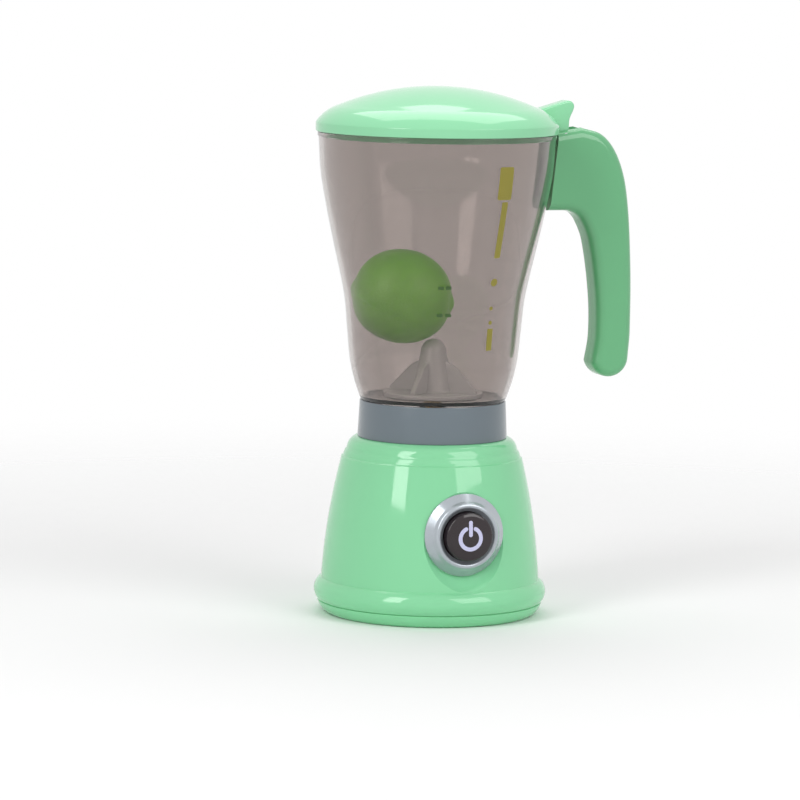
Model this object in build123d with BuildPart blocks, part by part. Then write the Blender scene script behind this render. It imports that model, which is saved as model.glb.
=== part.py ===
from build123d import *
from math import acos, cos, degrees, pi, radians, sin, sqrt, tan
import os

os.makedirs("parts", exist_ok=True)

# Toy blender, in millimetres. The origin lies on the axis of the base, at the level it stands on.
# +Z is up, +X points at the handle, and the power button faces -Y.

# ---- Driving dimensions ----------------------------------------------------------------------
# Clearances
running_gap = 0.06        # round a shaft in its bush
fixed_gap = 0.02          # round a pin, shaft or tube that is held fast
seat_gap = 0.25           # round a moulded piece in its seat
swing_gap = 0.4           # beside a piece that swings or slides by hand
end_gap = 0.2             # between the end of a piece and what lies past it

# Base housing: a bell on a rolled foot flange, with a deck and a spigot for the jug's collar.
# The seam and the crease lie inside the flange, the shoulder's points outside and below the deck.
shell_wall = 2.2
seam_z, flange_z, crease_z = 6.0, 10.4, 15.9
flange_r, flange_roll, flange_step = 52.5, 1.7, 3.2
bell_mid_z, bell_bulge = 45.0, 1.05
bell_top_out, bell_top_drop = 6.2, 9.0
bead_out, bead_drop, bead_step = 4.7, 5.2, 0.8
shoulder_out, shoulder_drop = 2.5, 1.8
deck_z, deck_ledge = 79.8, 0.9
spigot_r, spigot_h = 30.2, 6.6
inner_bead_drop, inner_bell_drop, inner_seam_drop = 1.6, 1.2, 2.4

# Screws and their bosses
screw_r, screw_head_r, screw_head_t = 1.2, 2.5, 1.6
screw_sides = 8
boss_r, sleeve_wall = 3.4, 0.6
boss_top_z = 30.0
cover_screw_l, cover_pilot_l = 13.0, 18.0
cover_screw_count, cover_screw_angle = 4, 45.0
rib_t = 1.8

# Bottom cover with its battery box and door
foot_in, foot_width, foot_h = 4.0, 3.2, 1.2
floor_t, cover_bulge = 2.0, 1.0
locating_lip_h, locating_lip_t = 2.0, 1.8
cell_r, cell_l = 7.25, 49.5
cell_nub_r, cell_nub_l = 2.75, 1.0
cell_pitch, cell_room = 15.2, 0.6
spring_room, plate_room, plate_t = 5.0, 1.2, 0.9
contact_w, contact_spring_r, contact_taper = 9.0, 3.4, 16.0
box_wall = 1.8
door_tongue_l, door_tongue_w, door_tongue_t, door_tongue_root = 2.5, 6.0, 1.2, 1.8
door_tab_l, door_tab_w = 8.0, 9.0
door_screw_out, door_boss_h, door_screw_l, door_head_t = 4.6, 7.0, 6.5, 1.1
rib_count, rib_pitch, rib_w, rib_l, rib_h = 5, 2.6, 1.0, 14.0, 0.45

# Button, bezel and switch, on an axis that points out along -Y
button_z = 41.0
bezel_r, bezel_lip_r = 18.45, 14.0
seat_depth = 3.1          # from the bell's middle radius in to the flat of the seat
seat_flare = 14.0
bezel_lip_out, bezel_shoulder_out = 5.6, 2.0
bezel_bore_r, bezel_tube_r, bezel_tube_l = 11.0, 13.5, 3.8
bezel_tube_wall, bezel_foot_t = 1.0, 0.9
bezel_waist_in, bezel_waist_out = 1.2, 1.4            # behind and out from the edge of the lip
bezel_lip_steps, bezel_bore_in = ((0.1, 0.9), (0.9, 1.4)), 1.5
hook_count, hook_w, hook_t = 3, 6.0, 1.6
button_r, button_edge_out, button_dome, button_crown = 10.75, 2.6, 1.2, 0.22
button_edge_steps = ((0.4, 0.8), (0.1, 0.2), (-0.5, 0.0))   # out from the edge, in from the radius
button_flange_t, button_wall, button_travel = 1.5, 1.6, 2.0
board_drop, board_t, board_w, board_h, board_corner = 9.6, 1.6, 36.0, 22.0, 2.0
board_hole_x, board_post_r, board_screw_l = 16.4, 2.4, 5.5
switch_size, switch_h, switch_pocket, plunger_r = 8.0, 6.0, 5.2, 1.8
button_spring_r, button_spring_wire, button_spring_turns = 10.2, 0.7, 3.0

# Motor and gear train under the deck
frame_drop, frame_t, frame_r, frame_flat_y = 30.8, 2.0, 35.0, 19.4
gear_space = 13.5
frame_post_pcr, frame_post_r, frame_screw_l = 31.5, 3.2, 8.0
foot_boss_wall, foot_boss_h, foot_blind = 2.2, 3.0, 2.0
module, pressure_angle = 0.6, 25.0
addendum, dedendum = 0.8, 1.15   # in modules
backlash = 0.16
pinion_teeth, idler_teeth, idler_pinion_teeth, output_teeth = 10, 36, 12, 36
idler_angle, motor_angle = 150.0, 80.0
idler_gear_t, output_gear_t, pinion_t = 3.5, 4.0, 5.2
gear_lift, gear_step, gear_hub_t = 1.0, 1.5, 1.2
motor_w, motor_d, motor_l, motor_flat_w = 20.0, 15.0, 25.0, 15.0
motor_boss_r, motor_boss_h, motor_bearing_l = 3.0, 1.6, 9.0
terminal_y, terminal_w, terminal_t, terminal_l = 4.5, 2.6, 0.6, 2.4
cradle_w, cradle_wall, cradle_hook = 8.0, 1.6, 1.0
motor_shaft_r, axle_r, shaft_r = 1.0, 1.0, 1.5

# Dogs between the base and the jug
dog_r, dog_hub_r, dog_t = 9.0, 4.2, 2.0
dog_lug_h, dog_lug_angle, dog_lug_root = 3.2, 34.0, 0.6
dog_lift, dog_gap, dog_hub_t = 0.6, 0.3, 1.4
dog_lug_count = 4

# Collar and jug. The low part of the jug's side is given as radius and height above its foot, the
# high part as points in and down from the rim.
collar_skirt_t, collar_taper, collar_h = 3.1, 0.8, 16.6
collar_web_h, collar_web_t, collar_web_r = 8.7, 1.5, 24.0
key_w, key_d, key_count, key_angle, key_lift = 5.0, 1.6, 3, 30.0, 1.0
jug_wall = 2.0
jug_neck_wall, jug_foot_out, jug_foot_lift = 1.9, 1.4, 0.2
jug_floor_lift, jug_floor_t = 1.8, 2.0
jug_low_side = ((35.8, 8.9), (39.2, 32.4), (42.1, 54.1))
jug_high_side = ((5.6, 38.4), (1.4, 16.8))
jug_h = 120.3
jug_rim_r, jug_rim_h, jug_rim_bead, jug_rim_neck = 53.6, 2.2, 0.4, 4.9
rail_drop, rail_l = 11.4, 18.5
rail_neck_t, rail_head_w, rail_head_t = 3.0, 8.0, 2.0

# Stirrer
stirrer_disc_r, stirrer_disc_t, stirrer_lift = 22.4, 1.6, 0.8
hub_foot_r, hub_top_r, hub_h = 9.0, 5.8, 19.3
stirrer_shaft_cover = 4.0
fin_t, fin_count = 2.2, 4
fin_tip_r, fin_lip_h, fin_root_r = 21.4, 1.2, 3.8
fin_shoulder_r, fin_shoulder_h, fin_root_h = 11.0, 13.0, 16.5
bush_r, bush_flange_r, bush_flange_t = 3.9, 6.0, 0.6

# Lid, its heights above the jug's rim and its points out from the edge of the rim
lid_overhang, lid_band_h, lid_h = 0.9, 4.2, 20.6
lid_edge_mid_in, lid_edge_mid_h = 4.9, 9.0
lid_edge_in, lid_edge_h = 10.3, 11.7
lid_wall = 2.0
plug_t, plug_depth, plug_top_h = 1.8, 2.6, 5.6
hinge_out, hinge_drop, hinge_pin_r, hinge_ear_r = 5.7, 1.3, 1.1, 2.6
tab_w = 8.6
tab_root_in, tab_root_h = 8.6, 9.5
tab_tip_out, tab_tip_h, tab_end_out, tab_round = 7.0, 14.1, 10.6, 2.8
tab_neck_out, tab_neck_h = 8.4, 5.5

# Handle, in two halves that meet in the plane y = 0. Its points are out from the rim's edge and up
# from the rim.
handle_w, handle_wall, handle_round = 16.5, 2.3, 4.5
block_top, block_foot = (2.0, 0.5), (-1.8, -35.3)
handle_top = (13.4, 2.3)
grip_outside = ((24.4, -1.3), (31.9, -10.9), (36.6, -26.9), (39.3, -58.4), (39.8, -90.5))
grip_heel, grip_toe, grip_tip = (39.0, -102.3), (30.6, -111.4), (21.0, -104.5)
grip_inside = ((22.8, -92.9), (22.3, -73.9), (18.5, -49.4), (14.7, -40.3))
crook_out = 7.9
slot_floor_drop, slot_start_out, notch_end_out, slot_reach = 7.5, 3.4, 8.8, 20.0
handle_screws_at = ((12.4, -18.4), (30.8, -56.9), (31.0, -96.9))
handle_boss_r, handle_screw_l, handle_head_cover = 3.2, 10.2, 1.0
pin_blind = 2.4

# Play lime, lying on the stirrer and against the jug's wall
lime_r, lime_half_l, lime_plump = 21.4, 24.0, 0.85
lime_azimuth, lime_tilt = 160.0, -8.0
lime_offset, lime_h = 14.6, 46.4
lime_bands = 8

# ---- Derived sizes ---------------------------------------------------------------------------
seam_r, crease_r = flange_r - flange_roll, flange_r - flange_step
foot_r = seam_r - foot_in
collar_bottom_r = spigot_r + swing_gap + collar_skirt_t
collar_top_r, collar_top_z = collar_bottom_r - collar_taper, deck_z + collar_h
collar_web_z = deck_z + collar_web_h
deck_r = collar_bottom_r + deck_ledge
bell_top_r, bell_top_z = deck_r + bell_top_out, deck_z - bell_top_drop
bell_mid_r = (crease_r + bell_top_r) / 2 + bell_bulge
bead_r, bead_z = deck_r + bead_out, deck_z - bead_drop
shoulder_r, shoulder_z = deck_r + shoulder_out, deck_z - shoulder_drop
spigot_top_z = deck_z + spigot_h

sleeve_r = boss_r + sleeve_wall
cover_screw_pcr = foot_r - foot_width - sleeve_r
floor_z = foot_h + floor_t
box_l = cell_l + cell_nub_l + spring_room + plate_room
box_w = cell_pitch + 2 * cell_r + 2 * cell_room
cell_z = floor_z + cell_room + cell_r
box_top_z = cell_z + cell_r + cell_room
door_t = floor_t - end_gap
door_screw_x = -box_l / 2 - door_screw_out

bezel_seat_y = bell_mid_r - seat_depth
bezel_lip_y, bezel_shoulder_y = bezel_seat_y + bezel_lip_out, bezel_seat_y + bezel_shoulder_out
button_edge_y = bezel_lip_y + button_edge_out
button_face_y = button_edge_y + button_dome
board_y = bezel_seat_y - board_drop
button_plane = Plane(origin=(0, 0, button_z), x_dir=(1, 0, 0), z_dir=(0, -1, 0))

frame_z = deck_z - frame_drop
gear_floor_z = frame_z + frame_t
idler_z = gear_floor_z + gear_lift
output_gear_z = idler_z + idler_gear_t + gear_step
frame_cover_z = gear_floor_z + gear_space
pinion_r, idler_r = module * pinion_teeth / 2, module * idler_teeth / 2
idler_pinion_r, output_r = module * idler_pinion_teeth / 2, module * output_teeth / 2
idler_distance, motor_distance = idler_pinion_r + output_r, pinion_r + idler_r
idler_x = idler_distance * cos(radians(idler_angle))
idler_y = idler_distance * sin(radians(idler_angle))
motor_x = idler_x + motor_distance * cos(radians(motor_angle))
motor_y = idler_y + motor_distance * sin(radians(motor_angle))
frame_post_angle = 90

dog_z = spigot_top_z + dog_lift
driven_dog_z = dog_z + dog_t + dog_lug_h + dog_gap
jug_neck_r = collar_top_r - jug_neck_wall
jug_foot_r, jug_foot_z = jug_neck_r + jug_foot_out, collar_top_z + jug_foot_lift
jug_floor_z = collar_top_z + jug_floor_lift
jug_rim_z = jug_foot_z + jug_h
jug_side = [(radius, jug_foot_z + height) for radius, height in jug_low_side]
jug_side += [(jug_rim_r - inset, jug_rim_z - drop) for inset, drop in jug_high_side]
jug_side.append((jug_rim_r - jug_rim_bead - end_gap, jug_rim_z - jug_rim_neck))
stirrer_z = jug_floor_z + stirrer_lift
hub_top_z = stirrer_z + hub_h
lid_r = jug_rim_r + lid_overhang
lid_edge_in_r, lid_edge_in_z = lid_r - lid_edge_in, jug_rim_z + lid_edge_h
lid_edge_mid_r, lid_edge_mid_z = lid_r - lid_edge_mid_in, jug_rim_z + lid_edge_mid_h
lid_top_z = jug_rim_z + lid_h
plug_r = jug_rim_r - jug_rim_bead - jug_wall - 2 * swing_gap
# Lever, hinge and handle are drawn from the side, on a plane whose origin is the edge of the rim
side_plane = Plane(origin=(jug_rim_r, 0, jug_rim_z), x_dir=(1, 0, 0), z_dir=(0, -1, 0))
tab_reach = sqrt((tab_tip_out - hinge_out) ** 2 + (tab_tip_h + hinge_drop) ** 2)
slot_end_out = hinge_out + tab_reach + 2 * swing_gap
slot_w = tab_w + 2 * swing_gap
rail_top, rail_foot = -rail_drop, -rail_drop - rail_l


# ---- Shared shapes ---------------------------------------------------------------------------
def polar(radius, angle):
    return radius * cos(radians(angle)), radius * sin(radians(angle))


def screw_outline(radius):
    """The shank or head of a small screw, with a few flat sides that lie within that radius."""
    RegularPolygon(radius, screw_sides)


def screw_hole(radius, mode=Mode.ADD):
    """A small hole with a few flat sides, which a screw of that radius goes into."""
    RegularPolygon(radius, screw_sides, major_radius=False, mode=mode)


def bell_curve():
    """The outside of the housing, from the seam up to the deck."""
    ThreePointArc((seam_r, seam_z), (flange_r, flange_z), (crease_r, crease_z))
    ThreePointArc((crease_r, crease_z), (bell_mid_r, bell_mid_z), (bell_top_r, bell_top_z))
    Polyline((bell_top_r, bell_top_z), (bell_top_r - bead_step, bell_top_z + bead_step),
             (bead_r, bead_z - bead_step), (bead_r - bead_step, bead_z))
    ThreePointArc((bead_r - bead_step, bead_z), (shoulder_r, shoulder_z), (deck_r, deck_z))


def gear_outline(teeth, phase):
    """The outline of a spur gear with straight-sided involute teeth, one of them at the angle phase."""
    pitch_r = module * teeth / 2
    base_r = pitch_r * cos(radians(pressure_angle))
    tip_r = pitch_r + addendum * module
    root_r = pitch_r - dedendum * module
    pitch_half = (pi * module / 2 - backlash) / 2 / pitch_r
    pitch_inv = tan(radians(pressure_angle)) - radians(pressure_angle)

    def half_angle(radius):
        if radius <= base_r:
            return pitch_half + pitch_inv
        angle = acos(base_r / radius)
        return pitch_half + pitch_inv - (tan(angle) - angle)

    flank = (root_r, base_r, tip_r) if base_r > root_r else (root_r, tip_r)
    points = []
    for tooth in range(teeth):
        middle = 360 * tooth / teeth + phase
        points += [polar(radius, middle - degrees(half_angle(radius))) for radius in flank]
        points += [polar(radius, middle + degrees(half_angle(radius))) for radius in reversed(flank)]
    Polyline(*points, close=True)


# ---- Base housing ----------------------------------------------------------------------------
# A moulded bell: shell, deck, spigot for the jug's collar, screw bosses and a dished button seat.
with BuildPart() as bell_solid:
    with BuildSketch(Plane.XZ):
        with BuildLine():
            bell_curve()
            Polyline((deck_r, deck_z), (0, deck_z), (0, seam_z), (seam_r, seam_z))
        make_face()
    revolve(axis=Axis.Z)

seat_cut_r = bezel_r + seat_gap
seat_floor_y = bezel_seat_y - shell_wall
board_screw_r = screw_r - end_gap
bezel_back_y = bezel_seat_y - bezel_tube_l
sleeve_top_z = seam_z + locating_lip_h + swing_gap
with BuildPart() as button_seat:
    add(bell_solid.part)
    with Locations(button_plane.offset(seat_floor_y)):
        Cone(seat_cut_r + shell_wall / 2, seat_cut_r + shell_wall / 2 + seat_flare, seat_flare,
             align=(Align.CENTER, Align.CENTER, Align.MIN), mode=Mode.INTERSECT)

with BuildPart() as base_housing:
    with BuildSketch(Plane.XZ):
        with BuildLine():
            bell_curve()
            Polyline((deck_r, deck_z), (spigot_r, deck_z), (spigot_r, spigot_top_z),
                     (bush_r, spigot_top_z), (bush_r, spigot_top_z - shell_wall),
                     (spigot_r - shell_wall, spigot_top_z - shell_wall),
                     (spigot_r - shell_wall, deck_z - shell_wall),
                     (deck_r, deck_z - shell_wall),
                     (bead_r - shell_wall, bead_z - inner_bead_drop),
                     (bell_top_r - shell_wall, bell_top_z - inner_bell_drop),
                     (bell_mid_r - shell_wall, bell_mid_z),
                     (crease_r - shell_wall, crease_z),
                     (seam_r - shell_wall, crease_z - inner_seam_drop),
                     (seam_r - shell_wall, seam_z), (seam_r, seam_z))
        make_face()
    revolve(axis=Axis.Z)
    add(button_seat.part)
    # Screw bosses for the bottom cover, each tied to the wall by a rib
    boss_rib_l = crease_r - shell_wall - cover_screw_pcr
    with BuildSketch(Plane.XY.offset(sleeve_top_z)):
        with PolarLocations(cover_screw_pcr, cover_screw_count, cover_screw_angle):
            Circle(boss_r)
        with PolarLocations(cover_screw_pcr + boss_rib_l / 2, cover_screw_count, cover_screw_angle):
            Rectangle(boss_rib_l, rib_t)
    extrude(amount=boss_top_z - sleeve_top_z)
    # Bosses under the deck that carry the gear frame
    with BuildSketch(Plane.XY.offset(frame_cover_z + frame_t)):
        with PolarLocations(frame_post_pcr, 3, frame_post_angle):
            Circle(frame_post_r)
    extrude(amount=deck_z - shell_wall / 2 - frame_cover_z - frame_t)
    # The dished seat and the hole for the bezel's tube
    with Locations(button_plane.offset(bezel_seat_y)):
        Cone(seat_cut_r, seat_cut_r + seat_flare, seat_flare, align=(Align.CENTER, Align.CENTER, Align.MIN),
             mode=Mode.SUBTRACT)
    with Locations(button_plane.offset(bezel_back_y)):
        Cylinder(bezel_tube_r + seat_gap, bezel_lip_out + bezel_tube_l,
                 align=(Align.CENTER, Align.CENTER, Align.MIN), mode=Mode.SUBTRACT)
    # Posts behind the front wall that the switch board is screwed to
    for side in (-1, 1):
        with BuildSketch(button_plane.offset(board_y)):
            with Locations((side * board_hole_x, 0)):
                Circle(board_post_r)
        extrude(amount=seat_floor_y - board_y + shell_wall / 2)
        with BuildSketch(button_plane.offset(board_y)):
            with Locations((side * board_hole_x, 0)):
                screw_hole(board_screw_r + fixed_gap)
        extrude(amount=board_screw_l + end_gap, mode=Mode.SUBTRACT)
    # Pilot holes
    with BuildSketch(Plane.XY.offset(seam_z)):
        with PolarLocations(cover_screw_pcr, cover_screw_count, cover_screw_angle):
            screw_hole(screw_r + fixed_gap)
    extrude(amount=cover_pilot_l, mode=Mode.SUBTRACT)
    with BuildSketch(Plane.XY.offset(frame_cover_z + frame_t)):
        with PolarLocations(frame_post_pcr, 3, frame_post_angle):
            screw_hole(screw_r + fixed_gap)
    extrude(amount=frame_screw_l + end_gap, mode=Mode.SUBTRACT)
    # Slots in the spigot for the keys in the collar
    with BuildSketch(Plane.XY.offset(deck_z)):
        with PolarLocations(spigot_r, key_count, key_angle):
            Rectangle(2 * key_d, key_w + 2 * seat_gap)
    extrude(amount=spigot_h, mode=Mode.SUBTRACT)
base_housing.part.label = "base_housing"
export_step(base_housing.part, "parts/base_housing.step")

# ---- Bottom cover ----------------------------------------------------------------------------
# A dish under the seam. It stands on its rim, and carries the battery box and the screw sleeves.
lip_r = seam_r - shell_wall - seat_gap
with BuildPart() as bottom_cover:
    with BuildSketch(Plane.XZ):
        with BuildLine():
            Polyline((0, foot_h), (foot_r - foot_width, foot_h), (foot_r - foot_width, 0), (foot_r, 0))
            ThreePointArc((foot_r, 0), (seam_r - cover_bulge, seam_z / 2), (seam_r, seam_z))
            Polyline((seam_r, seam_z), (lip_r, seam_z), (lip_r, seam_z + locating_lip_h),
                     (lip_r - locating_lip_t, seam_z + locating_lip_h),
                     (lip_r - locating_lip_t, floor_z), (0, floor_z), (0, foot_h))
        make_face()
    revolve(axis=Axis.Z)
    with BuildSketch(Plane.XY.offset(floor_z)):
        Rectangle(box_l + 2 * box_wall, box_w + 2 * box_wall)
    extrude(amount=box_top_z + box_wall - floor_z)
    with BuildSketch(Plane.XY.offset(foot_h)):
        with PolarLocations(cover_screw_pcr, cover_screw_count, cover_screw_angle):
            Circle(sleeve_r)
    extrude(amount=sleeve_top_z - foot_h)
    # Boss over the door's screw tab
    with BuildSketch(Plane.XY.offset(floor_z)):
        with Locations((door_screw_x, 0)):
            Circle(boss_r)
    extrude(amount=door_boss_h)
    # Inside of the battery box, open below
    with BuildSketch(Plane.XY.offset(foot_h)):
        Rectangle(box_l, box_w)
    extrude(amount=box_top_z - foot_h, mode=Mode.SUBTRACT)
    # Recess for the door's screw tab, and notches for its tongues
    with BuildSketch(Plane.XY.offset(foot_h)):
        with Locations((-box_l / 2 - door_tab_l / 2, 0)):
            Rectangle(door_tab_l, door_tab_w)
    extrude(amount=floor_t, mode=Mode.SUBTRACT)
    with BuildSketch(Plane.XY.offset(floor_z)):
        with Locations((door_screw_x, 0)):
            screw_hole(screw_r + fixed_gap)
    extrude(amount=door_screw_l - door_t + end_gap, mode=Mode.SUBTRACT)
    with BuildSketch(Plane.XY.offset(floor_z)):
        with Locations((box_l / 2, -box_w / 4), (box_l / 2, box_w / 4)):
            Rectangle(2 * (door_tongue_l + swing_gap), door_tongue_w + 2 * seat_gap)
    extrude(amount=door_tongue_t + 2 * swing_gap, mode=Mode.SUBTRACT)
    # Screw holes, counterbored from below
    with BuildSketch(Plane.XY.offset(foot_h)):
        with PolarLocations(cover_screw_pcr, cover_screw_count, cover_screw_angle):
            screw_hole(screw_r + seat_gap)
    extrude(amount=sleeve_top_z, mode=Mode.SUBTRACT)
    with BuildSketch(Plane.XY.offset(foot_h)):
        with PolarLocations(cover_screw_pcr, cover_screw_count, cover_screw_angle):
            screw_hole(screw_head_r + seat_gap)
    extrude(amount=2 * screw_head_t, mode=Mode.SUBTRACT)
bottom_cover.part.label = "bottom_cover"
export_step(bottom_cover.part, "parts/bottom_cover.step")

# ---- Battery door ----------------------------------------------------------------------------
# A flat door with two tongues at one end and a screw tab at the other.
with BuildPart() as battery_door:
    with BuildSketch(Plane.XY.offset(foot_h)):
        Rectangle(box_l - 2 * seat_gap, box_w - 2 * seat_gap)
        with Locations((-box_l / 2 - door_tab_l + seat_gap, 0)):
            Rectangle(door_tab_l + seat_gap, door_tab_w - 2 * seat_gap, align=(Align.MIN, Align.CENTER))
    extrude(amount=door_t)
    # Tongues, each on a step that lifts it over the edge of the floor
    for reach, start, height in ((-seat_gap, foot_h + door_t, 2 * end_gap),
                                 (door_tongue_l, floor_z + end_gap, door_tongue_t)):
        with BuildSketch(Plane.XY.offset(start)):
            with Locations(*[(box_l / 2 - door_tongue_root, side * box_w / 4) for side in (-1, 1)]):
                Rectangle(door_tongue_root + reach, door_tongue_w, align=(Align.MIN, Align.CENTER))
        extrude(amount=height)
    with BuildSketch(Plane.XY.offset(foot_h)):
        with Locations((door_screw_x, 0)):
            screw_hole(screw_r + seat_gap)
    extrude(amount=door_t, mode=Mode.SUBTRACT)
    # Ribs that a thumb pushes the door open by
    with BuildSketch(Plane.XY.offset(foot_h)):
        for rib in range(rib_count):
            with Locations((-box_l / 2 + rib_l / 2 + rib * rib_pitch, 0)):
                Rectangle(rib_w, rib_l)
    extrude(amount=-rib_h)
battery_door.part.label = "battery_door"
export_step(battery_door.part, "parts/battery_door.step")

# ---- Cells and contacts ----------------------------------------------------------------------
# Two cells lie side by side, nub to spring, between contact plates in the ends of the box.
cell_end_x = box_l / 2 - plate_room
with BuildPart() as battery_cells:
    for side in (-1, 1):
        end = Plane(origin=(side * cell_end_x, side * cell_pitch / 2, cell_z),
                    x_dir=(0, 1, 0), z_dir=(-side, 0, 0))
        with BuildSketch(end):
            Circle(cell_nub_r)
        extrude(amount=cell_nub_l)
        with BuildSketch(end.offset(cell_nub_l)):
            Circle(cell_r)
        extrude(amount=cell_l)
battery_cells.part.label = "battery_cells"
export_step(battery_cells.part, "parts/battery_cells.step")

with BuildPart() as contact_plates:
    for side in (-1, 1):
        with BuildSketch(Plane.YZ.offset(side * (box_l / 2 - plate_room / 2))):
            with Locations((0, cell_z)):
                Rectangle(cell_pitch + contact_w, contact_w)
        extrude(amount=plate_room / 4, both=True)
contact_plates.part.label = "contact_plates"
export_step(contact_plates.part, "parts/contact_plates.step")

with BuildPart() as contact_springs:
    for side in (-1, 1):
        spring_x = -side * (box_l / 2 - plate_t)
        with BuildSketch(Plane(origin=(spring_x, side * cell_pitch / 2, cell_z),
                               x_dir=(0, 1, 0), z_dir=(side, 0, 0))):
            Circle(contact_spring_r)
        extrude(amount=spring_room - plate_t - running_gap, taper=contact_taper)
contact_springs.part.label = "contact_springs"
export_step(contact_springs.part, "parts/contact_springs.step")

# ---- Screws of the base ----------------------------------------------------------------------
cover_screw_z = foot_h + screw_head_t
with BuildPart() as cover_screws:
    for radius, start, length in ((screw_head_r, cover_screw_z, screw_head_t),
                                  (screw_r, cover_screw_z + screw_head_t, cover_screw_l)):
        with BuildSketch(Plane.XY.offset(start)):
            with PolarLocations(cover_screw_pcr, cover_screw_count, cover_screw_angle):
                screw_outline(radius)
        extrude(amount=length)
cover_screws.part.label = "cover_screws"
export_step(cover_screws.part, "parts/cover_screws.step")

with BuildPart() as battery_door_screw:
    for radius, start, length in ((screw_head_r, foot_h - door_head_t, door_head_t),
                                  (screw_r, foot_h, door_screw_l)):
        with BuildSketch(Plane.XY.offset(start)):
            with Locations((door_screw_x, 0)):
                screw_outline(radius)
        extrude(amount=length)
battery_door_screw.part.label = "battery_door_screw"
export_step(battery_door_screw.part, "parts/battery_door_screw.step")

# ---- Button bezel ----------------------------------------------------------------------------
# A turned-looking ring: its cone stands in the dished seat, its tube goes through the wall.
flange_room_r = bezel_tube_r - bezel_tube_wall
with BuildPart() as button_bezel:
    with BuildSketch(Plane.YZ):
        with BuildLine():
            Polyline((-bezel_seat_y, button_z + bezel_r),
                     (-bezel_seat_y - bezel_foot_t, button_z + bezel_r))
            ThreePointArc((-bezel_seat_y - bezel_foot_t, button_z + bezel_r),
                          (-bezel_lip_y + bezel_waist_in, button_z + bezel_lip_r + bezel_waist_out),
                          (-bezel_lip_y, button_z + bezel_lip_r))
            Polyline((-bezel_lip_y, button_z + bezel_lip_r),
                     *[(-bezel_lip_y + step, button_z + bezel_lip_r - width)
                       for step, width in bezel_lip_steps],
                     (-bezel_lip_y + bezel_bore_in, button_z + bezel_bore_r),
                     (-bezel_shoulder_y, button_z + bezel_bore_r),
                     (-bezel_shoulder_y, button_z + flange_room_r),
                     (-bezel_back_y, button_z + flange_room_r),
                     (-bezel_back_y, button_z + bezel_tube_r),
                     (-bezel_seat_y, button_z + bezel_tube_r),
                     (-bezel_seat_y, button_z + bezel_r))
        make_face()
    revolve(axis=Axis((0, 0, button_z), (0, 1, 0)))
    # Three snap hooks behind the wall
    with BuildSketch(button_plane.offset(bezel_back_y)):
        with PolarLocations(bezel_tube_r, hook_count, 90):
            Rectangle(hook_t, hook_w)
        Circle(flange_room_r, mode=Mode.SUBTRACT)
    extrude(amount=seat_floor_y - bezel_back_y - end_gap)
button_bezel.part.label = "button_bezel"
export_step(button_bezel.part, "parts/button_bezel.step")

# ---- Power button ----------------------------------------------------------------------------
# A deep cap with a slightly domed face, a flange that stops behind the bezel and a stem inside.
button_back_y = bezel_shoulder_y - button_flange_t
stem_end_y = board_y + switch_h + button_travel + 2 * swing_gap
button_edge = [(-button_edge_y - out, button_z + button_r - width) for out, width in button_edge_steps]
with BuildPart() as power_button:
    with BuildSketch(Plane.YZ):
        with BuildLine():
            ThreePointArc((-button_face_y, button_z),
                          (-button_face_y + button_crown, button_z + button_r / 2), button_edge[0])
            Polyline(*button_edge,
                     (-bezel_shoulder_y, button_z + button_r),
                     (-bezel_shoulder_y, button_z + flange_room_r - seat_gap),
                     (-button_back_y, button_z + flange_room_r - seat_gap),
                     (-button_back_y, button_z + button_r - button_wall),
                     (-button_edge_y + button_wall, button_z + button_r - button_wall),
                     (-button_edge_y + button_wall, button_z + plunger_r),
                     (-stem_end_y, button_z + plunger_r),
                     (-stem_end_y, button_z), (-button_face_y, button_z))
        make_face()
    revolve(axis=Axis((0, 0, button_z), (0, 1, 0)))
power_button.part.label = "power_button"
export_step(power_button.part, "parts/power_button.step")

# ---- Switch board ----------------------------------------------------------------------------
with BuildPart() as switch_board:
    with BuildSketch(button_plane.offset(board_y - board_t)):
        RectangleRounded(board_w, board_h, board_corner)
        with Locations((-board_hole_x, 0), (board_hole_x, 0)):
            screw_hole(screw_r, Mode.SUBTRACT)
    extrude(amount=board_t)
switch_board.part.label = "switch_board"
export_step(switch_board.part, "parts/switch_board.step")

with BuildPart() as push_switch:
    with BuildSketch(button_plane.offset(board_y)):
        Rectangle(switch_size, switch_size)
    extrude(amount=switch_h)
    with BuildSketch(button_plane.offset(board_y + switch_h)):
        Circle(plunger_r + running_gap)
    extrude(amount=-switch_pocket, mode=Mode.SUBTRACT)
push_switch.part.label = "push_switch"
export_step(push_switch.part, "parts/push_switch.step")

with BuildPart() as switch_plunger:
    with BuildSketch(button_plane.offset(stem_end_y)):
        Circle(plunger_r)
    extrude(amount=-(stem_end_y - board_y - switch_h + switch_pocket - button_travel - swing_gap))
switch_plunger.part.label = "switch_plunger"
export_step(switch_plunger.part, "parts/switch_plunger.step")

with BuildPart() as board_screws:
    for side in (-1, 1):
        with BuildSketch(button_plane.offset(board_y - board_t)):
            with Locations((side * board_hole_x, 0)):
                screw_outline(board_screw_r + sleeve_wall)
        extrude(amount=-board_screw_r)
        with BuildSketch(button_plane.offset(board_y - board_t)):
            with Locations((side * board_hole_x, 0)):
                screw_outline(board_screw_r)
        extrude(amount=board_t + board_screw_l)
board_screws.part.label = "board_screws"
export_step(board_screws.part, "parts/board_screws.step")

button_spring_l = button_back_y - board_y - running_gap
with BuildPart() as button_spring:
    with BuildLine() as coil:
        Helix(pitch=(button_spring_l - button_spring_wire) / button_spring_turns,
              height=button_spring_l - button_spring_wire, radius=button_spring_r,
              center=(0, -board_y - (running_gap + button_spring_wire) / 2, button_z), direction=(0, -1, 0))
    with BuildSketch(Plane(coil.line @ 0, z_dir=coil.line % 0)):
        RegularPolygon(button_spring_wire / 2, 4)
    sweep(is_frenet=True)
button_spring.part.label = "button_spring"
export_step(button_spring.part, "parts/button_spring.step")

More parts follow.
